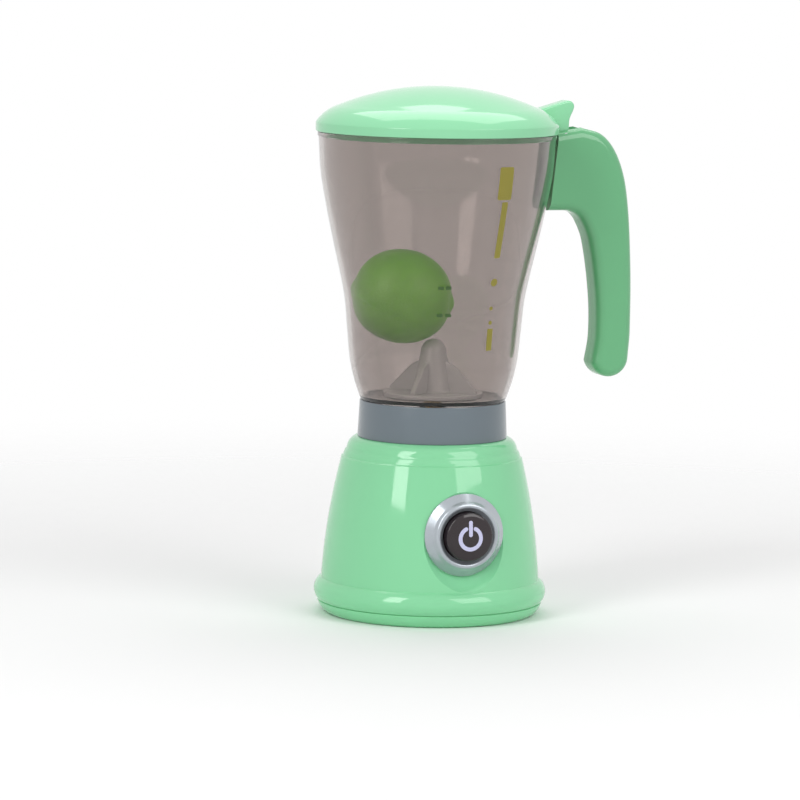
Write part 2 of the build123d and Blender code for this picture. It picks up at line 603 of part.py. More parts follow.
# ---- Gear frame ------------------------------------------------------------------------------
# A plate with three posts and a cradle for the motor, closed above by a second plate.
def frame_plate():
    """Outline of both plates: a disc with a flat that leaves room for the button."""
    Circle(frame_r)
    with Locations((0, -frame_flat_y)):
        Rectangle(2 * frame_r, frame_r, align=(Align.CENTER, Align.MAX), mode=Mode.SUBTRACT)
    with PolarLocations(frame_post_pcr, 3, frame_post_angle):
        screw_hole(screw_r + seat_gap, Mode.SUBTRACT)


with BuildPart() as gear_frame:
    with BuildSketch(Plane.XY.offset(frame_z)):
        frame_plate()
        with Locations((motor_x, motor_y)):
            Circle(motor_boss_r + seat_gap, mode=Mode.SUBTRACT)
    extrude(amount=frame_t)
    # Posts between the plates
    with BuildSketch(Plane.XY.offset(gear_floor_z)):
        with PolarLocations(frame_post_pcr, 3, frame_post_angle):
            Circle(frame_post_r)
            screw_hole(screw_r + seat_gap, Mode.SUBTRACT)
    extrude(amount=gear_space)
    # Bosses for the idler axle and the foot of the output shaft
    with BuildSketch(Plane.XY.offset(frame_z - foot_boss_h)):
        with Locations((0, 0), (idler_x, idler_y)):
            Circle(shaft_r + foot_boss_wall)
    extrude(amount=foot_boss_h)
    with BuildSketch(Plane.XY.offset(frame_z - foot_blind)):
        Circle(shaft_r + running_gap)
        with Locations((idler_x, idler_y)):
            Circle(axle_r + fixed_gap)
    extrude(amount=foot_blind + frame_t, mode=Mode.SUBTRACT)
    # Two arms with hooks that hold the motor up against the plate
    for side in (-1, 1):
        arm_x = motor_x + side * (motor_w / 2 + seat_gap)
        with BuildSketch(Plane.XY.offset(frame_z)):
            with Locations((arm_x, motor_y)):
                Rectangle(cradle_wall, cradle_w, align=(Align.MIN if side > 0 else Align.MAX, Align.CENTER))
        extrude(amount=-motor_l - end_gap - cradle_hook)
        with BuildSketch(Plane.XY.offset(frame_z - motor_l - end_gap)):
            with Locations((arm_x - side * cradle_hook, motor_y)):
                Rectangle(cradle_hook + cradle_wall / 2, cradle_w,
                          align=(Align.MIN if side > 0 else Align.MAX, Align.CENTER))
        extrude(amount=-cradle_hook)
gear_frame.part.label = "gear_frame"
export_step(gear_frame.part, "parts/gear_frame.step")

with BuildPart() as gear_cover:
    with BuildSketch(Plane.XY.offset(frame_cover_z)):
        frame_plate()
        Circle(shaft_r + running_gap, mode=Mode.SUBTRACT)
        with Locations((idler_x, idler_y)):
            Circle(axle_r + fixed_gap, mode=Mode.SUBTRACT)
    extrude(amount=frame_t)
gear_cover.part.label = "gear_cover"
export_step(gear_cover.part, "parts/gear_cover.step")

with BuildPart() as frame_screws:
    for radius, start, length in ((screw_head_r, frame_z - screw_head_t, screw_head_t),
                                  (screw_r, frame_z, gear_space + 2 * frame_t + frame_screw_l)):
        with BuildSketch(Plane.XY.offset(start)):
            with PolarLocations(frame_post_pcr, 3, frame_post_angle):
                screw_outline(radius)
        extrude(amount=length)
frame_screws.part.label = "frame_screws"
export_step(frame_screws.part, "parts/frame_screws.step")

# ---- Motor -----------------------------------------------------------------------------------
with BuildPart() as motor:
    with BuildSketch(Plane.XY.offset(frame_z - motor_l)):
        with Locations((motor_x, motor_y)):
            SlotOverall(motor_w, motor_d)
            Rectangle(motor_flat_w, motor_d)
    extrude(amount=motor_l)
    with BuildSketch(Plane.XY.offset(frame_z)):
        with Locations((motor_x, motor_y)):
            Circle(motor_boss_r)
    extrude(amount=motor_boss_h)
    with BuildSketch(Plane.XY.offset(frame_z - motor_bearing_l)):
        with Locations((motor_x, motor_y)):
            Circle(motor_shaft_r + running_gap)
    extrude(amount=motor_bearing_l + motor_boss_h, mode=Mode.SUBTRACT)
    # Terminals at the back
    with BuildSketch(Plane.XY.offset(frame_z - motor_l)):
        with Locations((motor_x, motor_y - terminal_y), (motor_x, motor_y + terminal_y)):
            Rectangle(terminal_w, terminal_t)
    extrude(amount=-terminal_l)
motor.part.label = "motor"
export_step(motor.part, "parts/motor.step")

with BuildPart() as motor_shaft:
    with BuildSketch(Plane.XY.offset(frame_z - motor_bearing_l + end_gap)):
        with Locations((motor_x, motor_y)):
            Circle(motor_shaft_r)
    extrude(amount=motor_bearing_l + frame_t + gear_lift + pinion_t + gear_lift)
motor_shaft.part.label = "motor_shaft"
export_step(motor_shaft.part, "parts/motor_shaft.step")

# ---- Gears -----------------------------------------------------------------------------------
# In mesh at rest: the followed wheel points a tooth at the next axis, which points a gap back.
idler_to_output = idler_angle + 180
idler_pinion_phase = idler_to_output + 180 / idler_pinion_teeth
pinion_phase = motor_angle + 180 + 180 / pinion_teeth
with BuildPart() as motor_pinion:
    with BuildSketch(Plane(origin=(motor_x, motor_y, idler_z - end_gap))):
        with BuildLine():
            gear_outline(pinion_teeth, pinion_phase)
        make_face()
        Circle(motor_shaft_r + fixed_gap, mode=Mode.SUBTRACT)
    extrude(amount=pinion_t)
motor_pinion.part.label = "motor_pinion"
export_step(motor_pinion.part, "parts/motor_pinion.step")

with BuildPart() as idler_gear:
    with BuildSketch(Plane(origin=(idler_x, idler_y, idler_z))):
        with BuildLine():
            gear_outline(idler_teeth, motor_angle)
        make_face()
    extrude(amount=idler_gear_t)
    with BuildSketch(Plane(origin=(idler_x, idler_y, idler_z + idler_gear_t))):
        with BuildLine():
            gear_outline(idler_pinion_teeth, idler_pinion_phase)
        make_face()
    extrude(amount=frame_cover_z - idler_z - idler_gear_t - gear_lift)
    with BuildSketch(Plane(origin=(idler_x, idler_y, idler_z))):
        Circle(axle_r + running_gap)
    extrude(amount=gear_space, mode=Mode.SUBTRACT)
idler_gear.part.label = "idler_gear"
export_step(idler_gear.part, "parts/idler_gear.step")

with BuildPart() as idler_axle:
    with BuildSketch(Plane(origin=(idler_x, idler_y, frame_z - foot_blind + end_gap))):
        Circle(axle_r)
    extrude(amount=foot_blind - end_gap + gear_space + 2 * frame_t)
idler_axle.part.label = "idler_axle"
export_step(idler_axle.part, "parts/idler_axle.step")

with BuildPart() as output_gear:
    with BuildSketch(Plane.XY.offset(output_gear_z)):
        with BuildLine():
            gear_outline(output_teeth, idler_angle)
        make_face()
    extrude(amount=output_gear_t)
    with BuildSketch(Plane.XY.offset(output_gear_z - gear_hub_t)):
        Circle(shaft_r + foot_boss_wall)
    extrude(amount=frame_cover_z - output_gear_z + gear_hub_t - swing_gap)
    with BuildSketch(Plane.XY.offset(output_gear_z - gear_hub_t)):
        Circle(shaft_r + fixed_gap)
    extrude(amount=gear_space, mode=Mode.SUBTRACT)
output_gear.part.label = "output_gear"
export_step(output_gear.part, "parts/output_gear.step")

with BuildPart() as output_shaft:
    with BuildSketch(Plane.XY.offset(frame_z - foot_blind + end_gap)):
        Circle(shaft_r)
    extrude(amount=dog_z + dog_t - frame_z + foot_blind - end_gap)
output_shaft.part.label = "output_shaft"
export_step(output_shaft.part, "parts/output_shaft.step")

with BuildPart() as output_bush:
    with BuildSketch(Plane.XY.offset(spigot_top_z - shell_wall)):
        Circle(bush_r - fixed_gap)
        Circle(shaft_r + running_gap, mode=Mode.SUBTRACT)
    extrude(amount=shell_wall + dog_lift - end_gap)
output_bush.part.label = "output_bush"
export_step(output_bush.part, "parts/output_bush.step")


# ---- Dogs ------------------------------------------------------------------------------------
# Two discs with four lugs each, which slide apart when the jug is lifted off.
def dog_lugs(first):
    """A sketch of four ring-shaped lugs, the first at the angle first."""
    inner_r = dog_hub_r + dog_lug_root
    with BuildSketch(mode=Mode.PRIVATE) as lugs:
        for lug in range(dog_lug_count):
            start = first + 360 / dog_lug_count * lug - dog_lug_angle / 2
            with BuildLine():
                CenterArc((0, 0), dog_r, start, dog_lug_angle)
                CenterArc((0, 0), inner_r, start, dog_lug_angle)
                Line(polar(inner_r, start), polar(dog_r, start))
                Line(polar(inner_r, start + dog_lug_angle), polar(dog_r, start + dog_lug_angle))
            make_face()
    return lugs.sketch


with BuildPart() as drive_dog:
    with BuildSketch(Plane.XY.offset(dog_z)):
        Circle(dog_r)
        Circle(shaft_r + fixed_gap, mode=Mode.SUBTRACT)
    extrude(amount=dog_t)
    with BuildSketch(Plane.XY.offset(dog_z + dog_t)):
        add(dog_lugs(0))
    extrude(amount=dog_lug_h)
drive_dog.part.label = "drive_dog"
export_step(drive_dog.part, "parts/drive_dog.step")

driven_dog_t = jug_floor_z - jug_floor_t - bush_flange_t - end_gap - driven_dog_z
with BuildPart() as driven_dog:
    with BuildSketch(Plane.XY.offset(driven_dog_z)):
        Circle(dog_r)
    extrude(amount=driven_dog_t)
    with BuildSketch(Plane.XY.offset(driven_dog_z)):
        add(dog_lugs(45))
    extrude(amount=-dog_lug_h + dog_gap)
    with BuildSketch(Plane.XY.offset(driven_dog_z - dog_hub_t)):
        Circle(dog_hub_r)
    extrude(amount=dog_hub_t)
    with BuildSketch(Plane.XY.offset(driven_dog_z - dog_hub_t)):
        Circle(shaft_r + fixed_gap)
    extrude(amount=dog_hub_t + driven_dog_t, mode=Mode.SUBTRACT)
driven_dog.part.label = "driven_dog"
export_step(driven_dog.part, "parts/driven_dog.step")

# ---- Jug collar ------------------------------------------------------------------------------
# A tapered ring glued round the neck of the jug. Its skirt drops over the spigot of the base.
with BuildPart() as jug_collar:
    with BuildSketch(Plane.XZ):
        with BuildLine():
            Polyline((collar_bottom_r, deck_z), (collar_top_r, collar_top_z),
                     (jug_neck_r + fixed_gap, collar_top_z),
                     (jug_neck_r + fixed_gap, collar_web_z + collar_web_t),
                     (collar_web_r, collar_web_z + collar_web_t), (collar_web_r, collar_web_z),
                     (spigot_r + swing_gap, collar_web_z), (spigot_r + swing_gap, deck_z),
                     close=True)
        make_face()
    revolve(axis=Axis.Z)
    with BuildSketch(Plane.XY.offset(deck_z + key_lift)):
        with PolarLocations(spigot_r + swing_gap, key_count, key_angle):
            Rectangle(2 * key_d - 2 * swing_gap, key_w - 2 * seat_gap)
    extrude(amount=spigot_h - key_lift - swing_gap)
jug_collar.part.label = "jug_collar"
export_step(jug_collar.part, "parts/jug_collar.step")

# ---- Jug -------------------------------------------------------------------------------------
# A clear flared shell with its own floor and neck, and a T-shaped rail for the handle.
jug_inside = [(radius - jug_wall, z) for radius, z in jug_side]
block_lean = (block_top[0] - block_foot[0]) / (block_top[1] - block_foot[1])
rail_gap = handle_wall + swing_gap


def block_out(height):
    """How far out the flat inner side of the handle's block stands at a height from the rim."""
    return block_foot[0] + block_lean * (height - block_foot[1])


def wall_out(height):
    """How far out the middle of the jug's wall is at a height from the rim."""
    for (low_r, low_z), (high_r, high_z) in zip(jug_side, jug_side[1:]):
        if low_z <= jug_rim_z + height <= high_z:
            share = (jug_rim_z + height - low_z) / (high_z - low_z)
            return low_r + (high_r - low_r) * share - jug_wall / 2 - jug_rim_r


with BuildPart() as jug:
    rim_neck = (jug_rim_r - jug_rim_bead, jug_rim_z - jug_rim_h)
    with BuildSketch(Plane.XZ):
        with BuildLine():
            Spline((jug_foot_r, jug_foot_z), *jug_side, rim_neck,
                   tangents=((0.8, 1.0), (0.03, 1.0)), tangent_scalars=(1, 1))
            Polyline(rim_neck, (jug_rim_r, jug_rim_z - jug_rim_h + jug_rim_bead), (jug_rim_r, jug_rim_z),
                     (jug_rim_r - jug_wall - jug_rim_bead, jug_rim_z), *reversed(jug_inside),
                     (jug_neck_r + end_gap, jug_floor_z),
                     (bush_r, jug_floor_z), (bush_r, jug_floor_z - jug_floor_t),
                     (jug_neck_r - jug_wall, jug_floor_z - jug_floor_t),
                     (jug_neck_r - jug_wall, collar_web_z + collar_web_t),
                     (jug_neck_r, collar_web_z + collar_web_t),
                     (jug_neck_r, jug_foot_z), (jug_foot_r, jug_foot_z))
        make_face()
    revolve(axis=Axis.Z)
    # Neck of the rail from the middle of the wall, then its head inside the handle
    with BuildSketch(side_plane):
        Polygon((wall_out(rail_foot), rail_foot),
                (block_out(rail_foot) + rail_gap + rail_head_t / 2, rail_foot),
                (block_out(rail_top) + rail_gap + rail_head_t / 2, rail_top),
                (wall_out(rail_top), rail_top), align=None)
    extrude(amount=rail_neck_t / 2, both=True)
    with BuildSketch(side_plane):
        Polygon((block_out(rail_foot) + rail_gap, rail_foot),
                (block_out(rail_foot) + rail_gap + rail_head_t, rail_foot),
                (block_out(rail_top) + rail_gap + rail_head_t, rail_top),
                (block_out(rail_top) + rail_gap, rail_top), align=None)
    extrude(amount=rail_head_w / 2, both=True)
jug.part.label = "jug"
export_step(jug.part, "parts/jug.step")

# ---- Stirrer ---------------------------------------------------------------------------------
# A finned cone on a disc, on a steel shaft that runs in a bush in the jug's floor.
with BuildPart() as stirrer_bush:
    with BuildSketch(Plane.XY.offset(jug_floor_z - jug_floor_t - bush_flange_t)):
        Circle(bush_flange_r)
        Circle(shaft_r + running_gap, mode=Mode.SUBTRACT)
    extrude(amount=bush_flange_t)
    with BuildSketch(Plane.XY.offset(jug_floor_z - jug_floor_t)):
        Circle(bush_r - fixed_gap)
        Circle(shaft_r + running_gap, mode=Mode.SUBTRACT)
    extrude(amount=jug_floor_t + stirrer_lift - end_gap)
stirrer_bush.part.label = "stirrer_bush"
export_step(stirrer_bush.part, "parts/stirrer_bush.step")

stirrer_shaft_z0 = driven_dog_z - dog_hub_t
stirrer_shaft_z1 = hub_top_z - stirrer_shaft_cover
with BuildPart() as stirrer_shaft:
    with BuildSketch(Plane.XY.offset(stirrer_shaft_z0)):
        Circle(shaft_r)
    extrude(amount=stirrer_shaft_z1 - stirrer_shaft_z0)
stirrer_shaft.part.label = "stirrer_shaft"
export_step(stirrer_shaft.part, "parts/stirrer_shaft.step")

disc_top_z = stirrer_z + stirrer_disc_t
with BuildPart() as stirrer:
    with BuildSketch(Plane.XZ):
        with BuildLine():
            Polyline((shaft_r + fixed_gap, stirrer_shaft_z1 + end_gap), (shaft_r + fixed_gap, stirrer_z),
                     (stirrer_disc_r, stirrer_z), (stirrer_disc_r, stirrer_z + stirrer_disc_t / 2),
                     (stirrer_disc_r - stirrer_disc_t / 2, disc_top_z), (hub_foot_r, disc_top_z),
                     (hub_top_r, hub_top_z))
            ThreePointArc((hub_top_r, hub_top_z),
                          (hub_top_r * cos(pi / 4), hub_top_z + hub_top_r * sin(pi / 4)),
                          (0, hub_top_z + hub_top_r))
            Polyline((0, hub_top_z + hub_top_r), (0, stirrer_shaft_z1 + end_gap),
                     (shaft_r + fixed_gap, stirrer_shaft_z1 + end_gap))
        make_face()
    revolve(axis=Axis.Z)
    for fin in range(fin_count):
        with BuildSketch(Plane.XZ.rotated((0, 0, 360 / fin_count * fin + 45))):
            with BuildLine():
                Polyline((fin_root_r, disc_top_z - end_gap), (fin_tip_r, disc_top_z - end_gap),
                         (fin_tip_r, disc_top_z + fin_lip_h), (fin_shoulder_r, stirrer_z + fin_shoulder_h),
                         (fin_root_r, stirrer_z + fin_root_h), close=True)
            make_face()
        extrude(amount=fin_t / 2, both=True)
stirrer.part.label = "stirrer"
export_step(stirrer.part, "parts/stirrer.step")

# ---- Lid -------------------------------------------------------------------------------------
# A shallow dome with a rim band and a plug ring, and a lever on the handle side: ear and thumb tab.
band_top_z = jug_rim_z + lid_band_h
dome_rise = lid_top_z - lid_edge_in_z
dome_r = (lid_edge_in_r ** 2 + dome_rise ** 2) / (2 * dome_rise)


def dome_z(radius, sink=0.0):
    """Height of the upper dome at a radius, sunk by a wall thickness for the inside."""
    return lid_top_z - dome_r + sqrt((dome_r - sink) ** 2 - radius ** 2)


with BuildPart() as lid:
    with BuildSketch(Plane.XZ):
        with BuildLine():
            ThreePointArc((0, lid_top_z), (lid_edge_in_r / 2, dome_z(lid_edge_in_r / 2)),
                          (lid_edge_in_r, lid_edge_in_z))
            ThreePointArc((lid_edge_in_r, lid_edge_in_z), (lid_edge_mid_r, lid_edge_mid_z),
                          (lid_r, band_top_z))
            Polyline((lid_r, band_top_z), (lid_r, jug_rim_z), (plug_r, jug_rim_z),
                     (plug_r, jug_rim_z - plug_depth), (plug_r - plug_t, jug_rim_z - plug_depth),
                     (plug_r - plug_t, jug_rim_z + plug_top_h),
                     (lid_edge_in_r - lid_wall / 2, lid_edge_in_z - lid_wall),
                     (lid_edge_in_r * 0.75, dome_z(lid_edge_in_r * 0.75, lid_wall)),
                     (lid_edge_in_r * 0.4, dome_z(lid_edge_in_r * 0.4, lid_wall)),
                     (0, lid_top_z - lid_wall), (0, lid_top_z))
        make_face()
    revolve(axis=Axis.Z)
    # Lever: the thumb tab, its neck, and the ear round the hinge pin
    with BuildSketch(side_plane):
        with BuildLine():
            Line((-tab_root_in, tab_root_h), (tab_tip_out, tab_tip_h))
            ThreePointArc((tab_tip_out, tab_tip_h),
                          (tab_end_out - tab_round / 4, tab_tip_h - tab_round / 3.5),
                          (tab_end_out, tab_tip_h - tab_round))
            Polyline((tab_end_out, tab_tip_h - tab_round), (tab_neck_out, tab_neck_h),
                     (hinge_out + hinge_ear_r, -hinge_drop))
            ThreePointArc((hinge_out + hinge_ear_r, -hinge_drop), (hinge_out, -hinge_drop - hinge_ear_r),
                          (hinge_out - hinge_ear_r, -hinge_drop))
            Polyline((hinge_out - hinge_ear_r, -hinge_drop), (hinge_out - hinge_ear_r, swing_gap),
                     (-lid_wall, swing_gap), (-tab_root_in, tab_root_h))
        make_face()
    extrude(amount=tab_w / 2, both=True)
    with BuildSketch(side_plane):
        with Locations((hinge_out, -hinge_drop)):
            Circle(hinge_pin_r + running_gap)
    extrude(amount=tab_w / 2, both=True, mode=Mode.SUBTRACT)
lid.part.label = "lid"
export_step(lid.part, "parts/lid.step")

with BuildPart() as lid_hinge_pin:
    with BuildSketch(side_plane):
        with Locations((hinge_out, -hinge_drop)):
            Circle(hinge_pin_r)
    extrude(amount=slot_w / 2 + pin_blind, both=True)
lid_hinge_pin.part.label = "lid_hinge_pin"
export_step(lid_hinge_pin.part, "parts/lid_hinge_pin.step")


# ---- Handle ----------------------------------------------------------------------------------
# A hollow grip hung from a block at its top. The block holds the rail, the hinge pin and the
# slot that the thumb tab swings into.
cavity_foot, cavity_top = block_foot[1] + handle_wall, -slot_floor_drop - handle_wall
counterbore_y = handle_w / 2 - screw_head_t - handle_head_cover
crook = (crook_out, block_foot[1])


def handle_side():
    """A sketch of the handle from the side: block, grip and hooked foot."""
    with BuildSketch(mode=Mode.PRIVATE) as side:
        with BuildLine():
            Polyline(block_foot, block_top, handle_top)
            Spline(handle_top, *grip_outside, grip_heel,
                   tangents=((handle_top[0] - block_top[0], handle_top[1] - block_top[1]), (0.0, -1.0)),
                   tangent_scalars=(1, 1))
            ThreePointArc(grip_heel, grip_toe, grip_tip)
            Spline(grip_tip, *grip_inside, crook,
                   tangents=((-0.25, 1.0), (-1.0, 0.0)), tangent_scalars=(1, 1))
            Line(crook, block_foot)
        make_face()
    return side.sketch


def handle_half(out):
    """One hollow half, from the plane y = 0 outwards along -Y (out = 1) or +Y (out = -1)."""
    with BuildPart(mode=Mode.PRIVATE) as half:
        with BuildSketch(side_plane):
            add(handle_side())
        extrude(amount=out * handle_w / 2)
        fillet(half.faces().sort_by(Axis.Y)[0 if out > 0 else -1].edges(), radius=handle_round)
        # Cavity, and bosses for the screws
        with BuildSketch(side_plane):
            Polygon((block_out(cavity_foot) + handle_wall, cavity_foot),
                    (block_out(cavity_top) + handle_wall, cavity_top),
                    (grip_outside[1][0] - 1.6 * handle_wall, cavity_top),
                    *[(x - handle_wall, z) for x, z in grip_outside[2:]],
                    (grip_heel[0] - handle_wall, grip_heel[1]),
                    (grip_toe[0], grip_toe[1] + handle_wall),
                    (grip_tip[0] + 1.2 * handle_wall, grip_tip[1] + handle_wall / 4),
                    *[(x + 1.3 * handle_wall, z) for x, z in grip_inside],
                    (crook_out, cavity_foot), align=None)
        extrude(amount=out * (handle_w / 2 - handle_wall), mode=Mode.SUBTRACT)
        with BuildSketch(side_plane):
            with Locations(*handle_screws_at):
                Circle(handle_boss_r)
        extrude(amount=out * (handle_w / 2 - handle_wall / 2))
        # Slot for the thumb tab, notch for the ear of the hinge, slot for the rail, and pin hole
        with BuildSketch(side_plane):
            with Locations((slot_start_out, -slot_floor_drop)):
                Rectangle(slot_end_out - slot_start_out, slot_reach, align=(Align.MIN, Align.MIN))
            with Locations((block_foot[0], -hinge_drop - hinge_ear_r - swing_gap)):
                Rectangle(notch_end_out - block_foot[0], slot_reach, align=(Align.MIN, Align.MIN))
        extrude(amount=out * slot_w / 2, mode=Mode.SUBTRACT)
        with BuildSketch(side_plane):
            with Locations((block_foot[0], rail_foot - seat_gap)):
                Rectangle(block_out(rail_top) + rail_gap + seat_gap - block_foot[0],
                          rail_l + 2 * seat_gap, align=(Align.MIN, Align.MIN))
        extrude(amount=out * (rail_neck_t / 2 + seat_gap), mode=Mode.SUBTRACT)
        with BuildSketch(side_plane):
            with Locations((hinge_out, -hinge_drop)):
                Circle(hinge_pin_r + fixed_gap)
        extrude(amount=out * (slot_w / 2 + pin_blind + fixed_gap), mode=Mode.SUBTRACT)
    return half.part


front_half = handle_half(1)
with BuildPart() as handle_front_half:
    add(front_half)
    with BuildSketch(side_plane):
        with Locations(*handle_screws_at):
            screw_hole(screw_r + fixed_gap)
    extrude(amount=handle_screw_l - counterbore_y + end_gap, mode=Mode.SUBTRACT)
handle_front_half.part.label = "handle_front_half"
export_step(handle_front_half.part, "parts/handle_front_half.step")

rear_half = handle_half(-1)
with BuildPart() as handle_rear_half:
    add(rear_half)
    for radius, start, depth in ((screw_r + seat_gap, 0, counterbore_y),
                                 (screw_head_r + seat_gap, counterbore_y, handle_w)):
        with BuildSketch(side_plane.offset(-start)):
            with Locations(*handle_screws_at):
                screw_hole(radius)
        extrude(amount=-depth, mode=Mode.SUBTRACT)
handle_rear_half.part.label = "handle_rear_half"
export_step(handle_rear_half.part, "parts/handle_rear_half.step")

with BuildPart() as handle_screws:
    for radius, start, length in ((screw_head_r, counterbore_y, -screw_head_t),
                                  (screw_r, counterbore_y, handle_screw_l)):
        with BuildSketch(side_plane.offset(-start)):
            with Locations(*handle_screws_at):
                screw_outline(radius)
        extrude(amount=length)
handle_screws.part.label = "handle_screws"
export_step(handle_screws.part, "parts/handle_screws.step")

# ---- Play lime -------------------------------------------------------------------------------
# A plump lime with blunt tips, leaning from the hub of the stirrer to the wall of the jug.
lime_axis = Vector(1, 0, 0).rotate(Axis.Y, lime_tilt).rotate(Axis.Z, lime_azimuth)
lime_across = Vector(0, -1, 0).rotate(Axis.Z, lime_azimuth)
lime_middle = Plane(origin=(*polar(lime_offset, lime_azimuth), jug_foot_z + lime_h),
                    x_dir=lime_across, z_dir=lime_axis)
with BuildPart() as play_lime:
    with BuildSketch(Plane(lime_middle.origin, x_dir=lime_across, z_dir=lime_axis.cross(lime_across))):
        Polygon(*[(lime_r * sin(pi * band / lime_bands) ** lime_plump,
                   -lime_half_l * cos(pi * band / lime_bands)) for band in range(1, lime_bands)],
                (0, lime_half_l), (0, -lime_half_l), align=None)
    revolve(axis=Axis(lime_middle.origin, lime_axis))
play_lime.part.label = "play_lime"
export_step(play_lime.part, "parts/play_lime.step")
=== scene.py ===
from math import atan2, ceil, cos, degrees, pi, radians, sin, sqrt, tan

import bmesh
import bpy
from mathutils import Matrix, Vector, noise


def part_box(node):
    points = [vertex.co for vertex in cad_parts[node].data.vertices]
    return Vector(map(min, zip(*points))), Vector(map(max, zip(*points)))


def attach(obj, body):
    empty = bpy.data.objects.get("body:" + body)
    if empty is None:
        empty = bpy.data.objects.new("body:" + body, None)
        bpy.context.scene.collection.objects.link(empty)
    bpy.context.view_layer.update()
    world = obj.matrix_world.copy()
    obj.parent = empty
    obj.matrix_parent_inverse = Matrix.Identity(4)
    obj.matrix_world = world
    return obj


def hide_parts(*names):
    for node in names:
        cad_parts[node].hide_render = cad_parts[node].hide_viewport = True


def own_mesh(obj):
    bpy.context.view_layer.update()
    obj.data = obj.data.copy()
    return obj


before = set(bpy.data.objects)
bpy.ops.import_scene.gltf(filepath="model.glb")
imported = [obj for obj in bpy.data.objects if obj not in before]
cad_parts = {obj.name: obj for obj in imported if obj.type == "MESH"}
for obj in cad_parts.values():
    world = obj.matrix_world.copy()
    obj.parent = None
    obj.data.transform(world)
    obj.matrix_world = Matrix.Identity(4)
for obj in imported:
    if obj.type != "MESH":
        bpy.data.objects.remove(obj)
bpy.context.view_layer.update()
mm = 0.001

# ---- Base housing -----------------------------------------------------------------------------
# The body of the blender, a bell-shaped shell with a rolled flange and a low bead on its
# shoulder. It is injection moulded in mint green ABS with polished sides. A dish in its front
# takes the button's ring, and a spigot on top takes the jug's collar.
shell_wall = 2.2
seam_r, seam_z = 50.8, 6.0
flange_r, flange_z = 52.5, 10.4
crease_r, crease_z = 49.3, 15.9
bell_mid_r, bell_mid_z = 46.1, 45.0
bell_top_r, bell_top_z = 40.8, 70.8
bead_r, bead_z = 38.5, 74.6
shoulder_r, shoulder_z = 37.1, 78.0
deck_r, deck_z = 34.6, 79.8
spigot_r, spigot_top_z = 30.2, 86.4
bush_hole_r = 3.9
button_z = 41.0
dish_r, dish_y = 18.7, 43.0
tube_hole_r = 13.75
dish_skin = 0.8
key_slots, key_slot_w, key_slot_d, key_turn = 3, 5.5, 1.6, 30
mint = (0.245, 0.690, 0.365, 1)


def arc(start, through, end, steps=16):
    """Points on the circle through three points, with both ends."""
    (ax, ay), (bx, by), (cx, cy) = start, through, end
    a2, b2, c2 = ax * ax + ay * ay, bx * bx + by * by, cx * cx + cy * cy
    twice = 2 * (ax * (by - cy) + bx * (cy - ay) + cx * (ay - by))
    mid_x = (a2 * (by - cy) + b2 * (cy - ay) + c2 * (ay - by)) / twice
    mid_y = (a2 * (cx - bx) + b2 * (ax - cx) + c2 * (bx - ax)) / twice
    first = atan2(ay - mid_y, ax - mid_x)
    sweep = (atan2(cy - mid_y, cx - mid_x) - first) % (2 * pi)
    if (atan2(by - mid_y, bx - mid_x) - first) % (2 * pi) > sweep:
        sweep -= 2 * pi
    radius = sqrt((ax - mid_x) ** 2 + (ay - mid_y) ** 2)
    turns = [first + sweep * step / steps for step in range(steps + 1)]
    return [(mid_x + radius * cos(turn), mid_y + radius * sin(turn)) for turn in turns]


def rounded(corners, degrees_each=15):
    """The corners of a closed outline, (across, up), rounded off where a radius follows."""
    points = []
    for index, corner in enumerate(corners):
        here = Vector(corner[:2])
        if len(corner) == 2:
            points.append((here.x, here.y))
            continue
        before = (Vector(corners[index - 1][:2]) - here).normalized()
        after = (Vector(corners[(index + 1) % len(corners)][:2]) - here).normalized()
        half = before.angle(after) / 2
        centre = here + (before + after).normalized() * corner[2] / sin(half)
        start = here + before * corner[2] / tan(half)
        through = centre - (before + after).normalized() * corner[2]
        end = here + after * corner[2] / tan(half)
        steps = max(2, ceil(degrees(pi - 2 * half) / degrees_each))
        points += arc(start, through, end, steps)
    return points


def turned(outline, steps=192):
    """A bmesh of an outline, (radius, height) in millimetres, turned round the Z axis."""
    bm = bmesh.new()
    ring = [bm.verts.new((radius * mm, 0, height * mm)) for radius, height in outline]
    edges = [bm.edges.new(pair) for pair in zip(ring, ring[1:])]
    if outline[0][0] > 0:
        edges.append(bm.edges.new((ring[-1], ring[0])))
    bmesh.ops.spin(bm, geom=ring + edges, cent=(0, 0, 0), axis=(0, 0, 1), angle=2 * pi,
                   steps=steps, use_merge=True)
    bmesh.ops.remove_doubles(bm, verts=bm.verts, dist=1e-7)
    bmesh.ops.recalc_face_normals(bm, faces=bm.faces)
    return bm


def shaded(piece, sharp=32):
    """Smooth faces, with the edges that turn by more than sharp degrees left crisp."""
    bm = bmesh.new()
    bm.from_mesh(piece.data)
    for face in bm.faces:
        face.smooth = True
    for edge in bm.edges:
        edge.smooth = edge.calc_face_angle(pi) < radians(sharp)
    bm.to_mesh(piece.data)
    bm.free()
    return piece


def made(name, bm):
    """An object of the bmesh, which is used up."""
    mesh = bpy.data.meshes.new(name)
    bm.to_mesh(mesh)
    bm.free()
    piece = bpy.data.objects.new(name, mesh)
    bpy.context.scene.collection.objects.link(piece)
    return shaded(piece)


def carved(piece, bm, operation="DIFFERENCE"):
    """Cuts the shape of a bmesh out of a piece, or joins it on with UNION."""
    tool = made("tool", bm)
    change = piece.modifiers.new("carve", "BOOLEAN")
    change.operation = operation
    change.solver = "EXACT"
    change.object = tool
    seen = piece.evaluated_get(bpy.context.evaluated_depsgraph_get())
    mesh = bpy.data.meshes.new_from_object(seen)
    piece.modifiers.clear()
    piece.data = mesh
    mesh.name = piece.name
    bpy.data.objects.remove(tool)
    return shaded(piece)


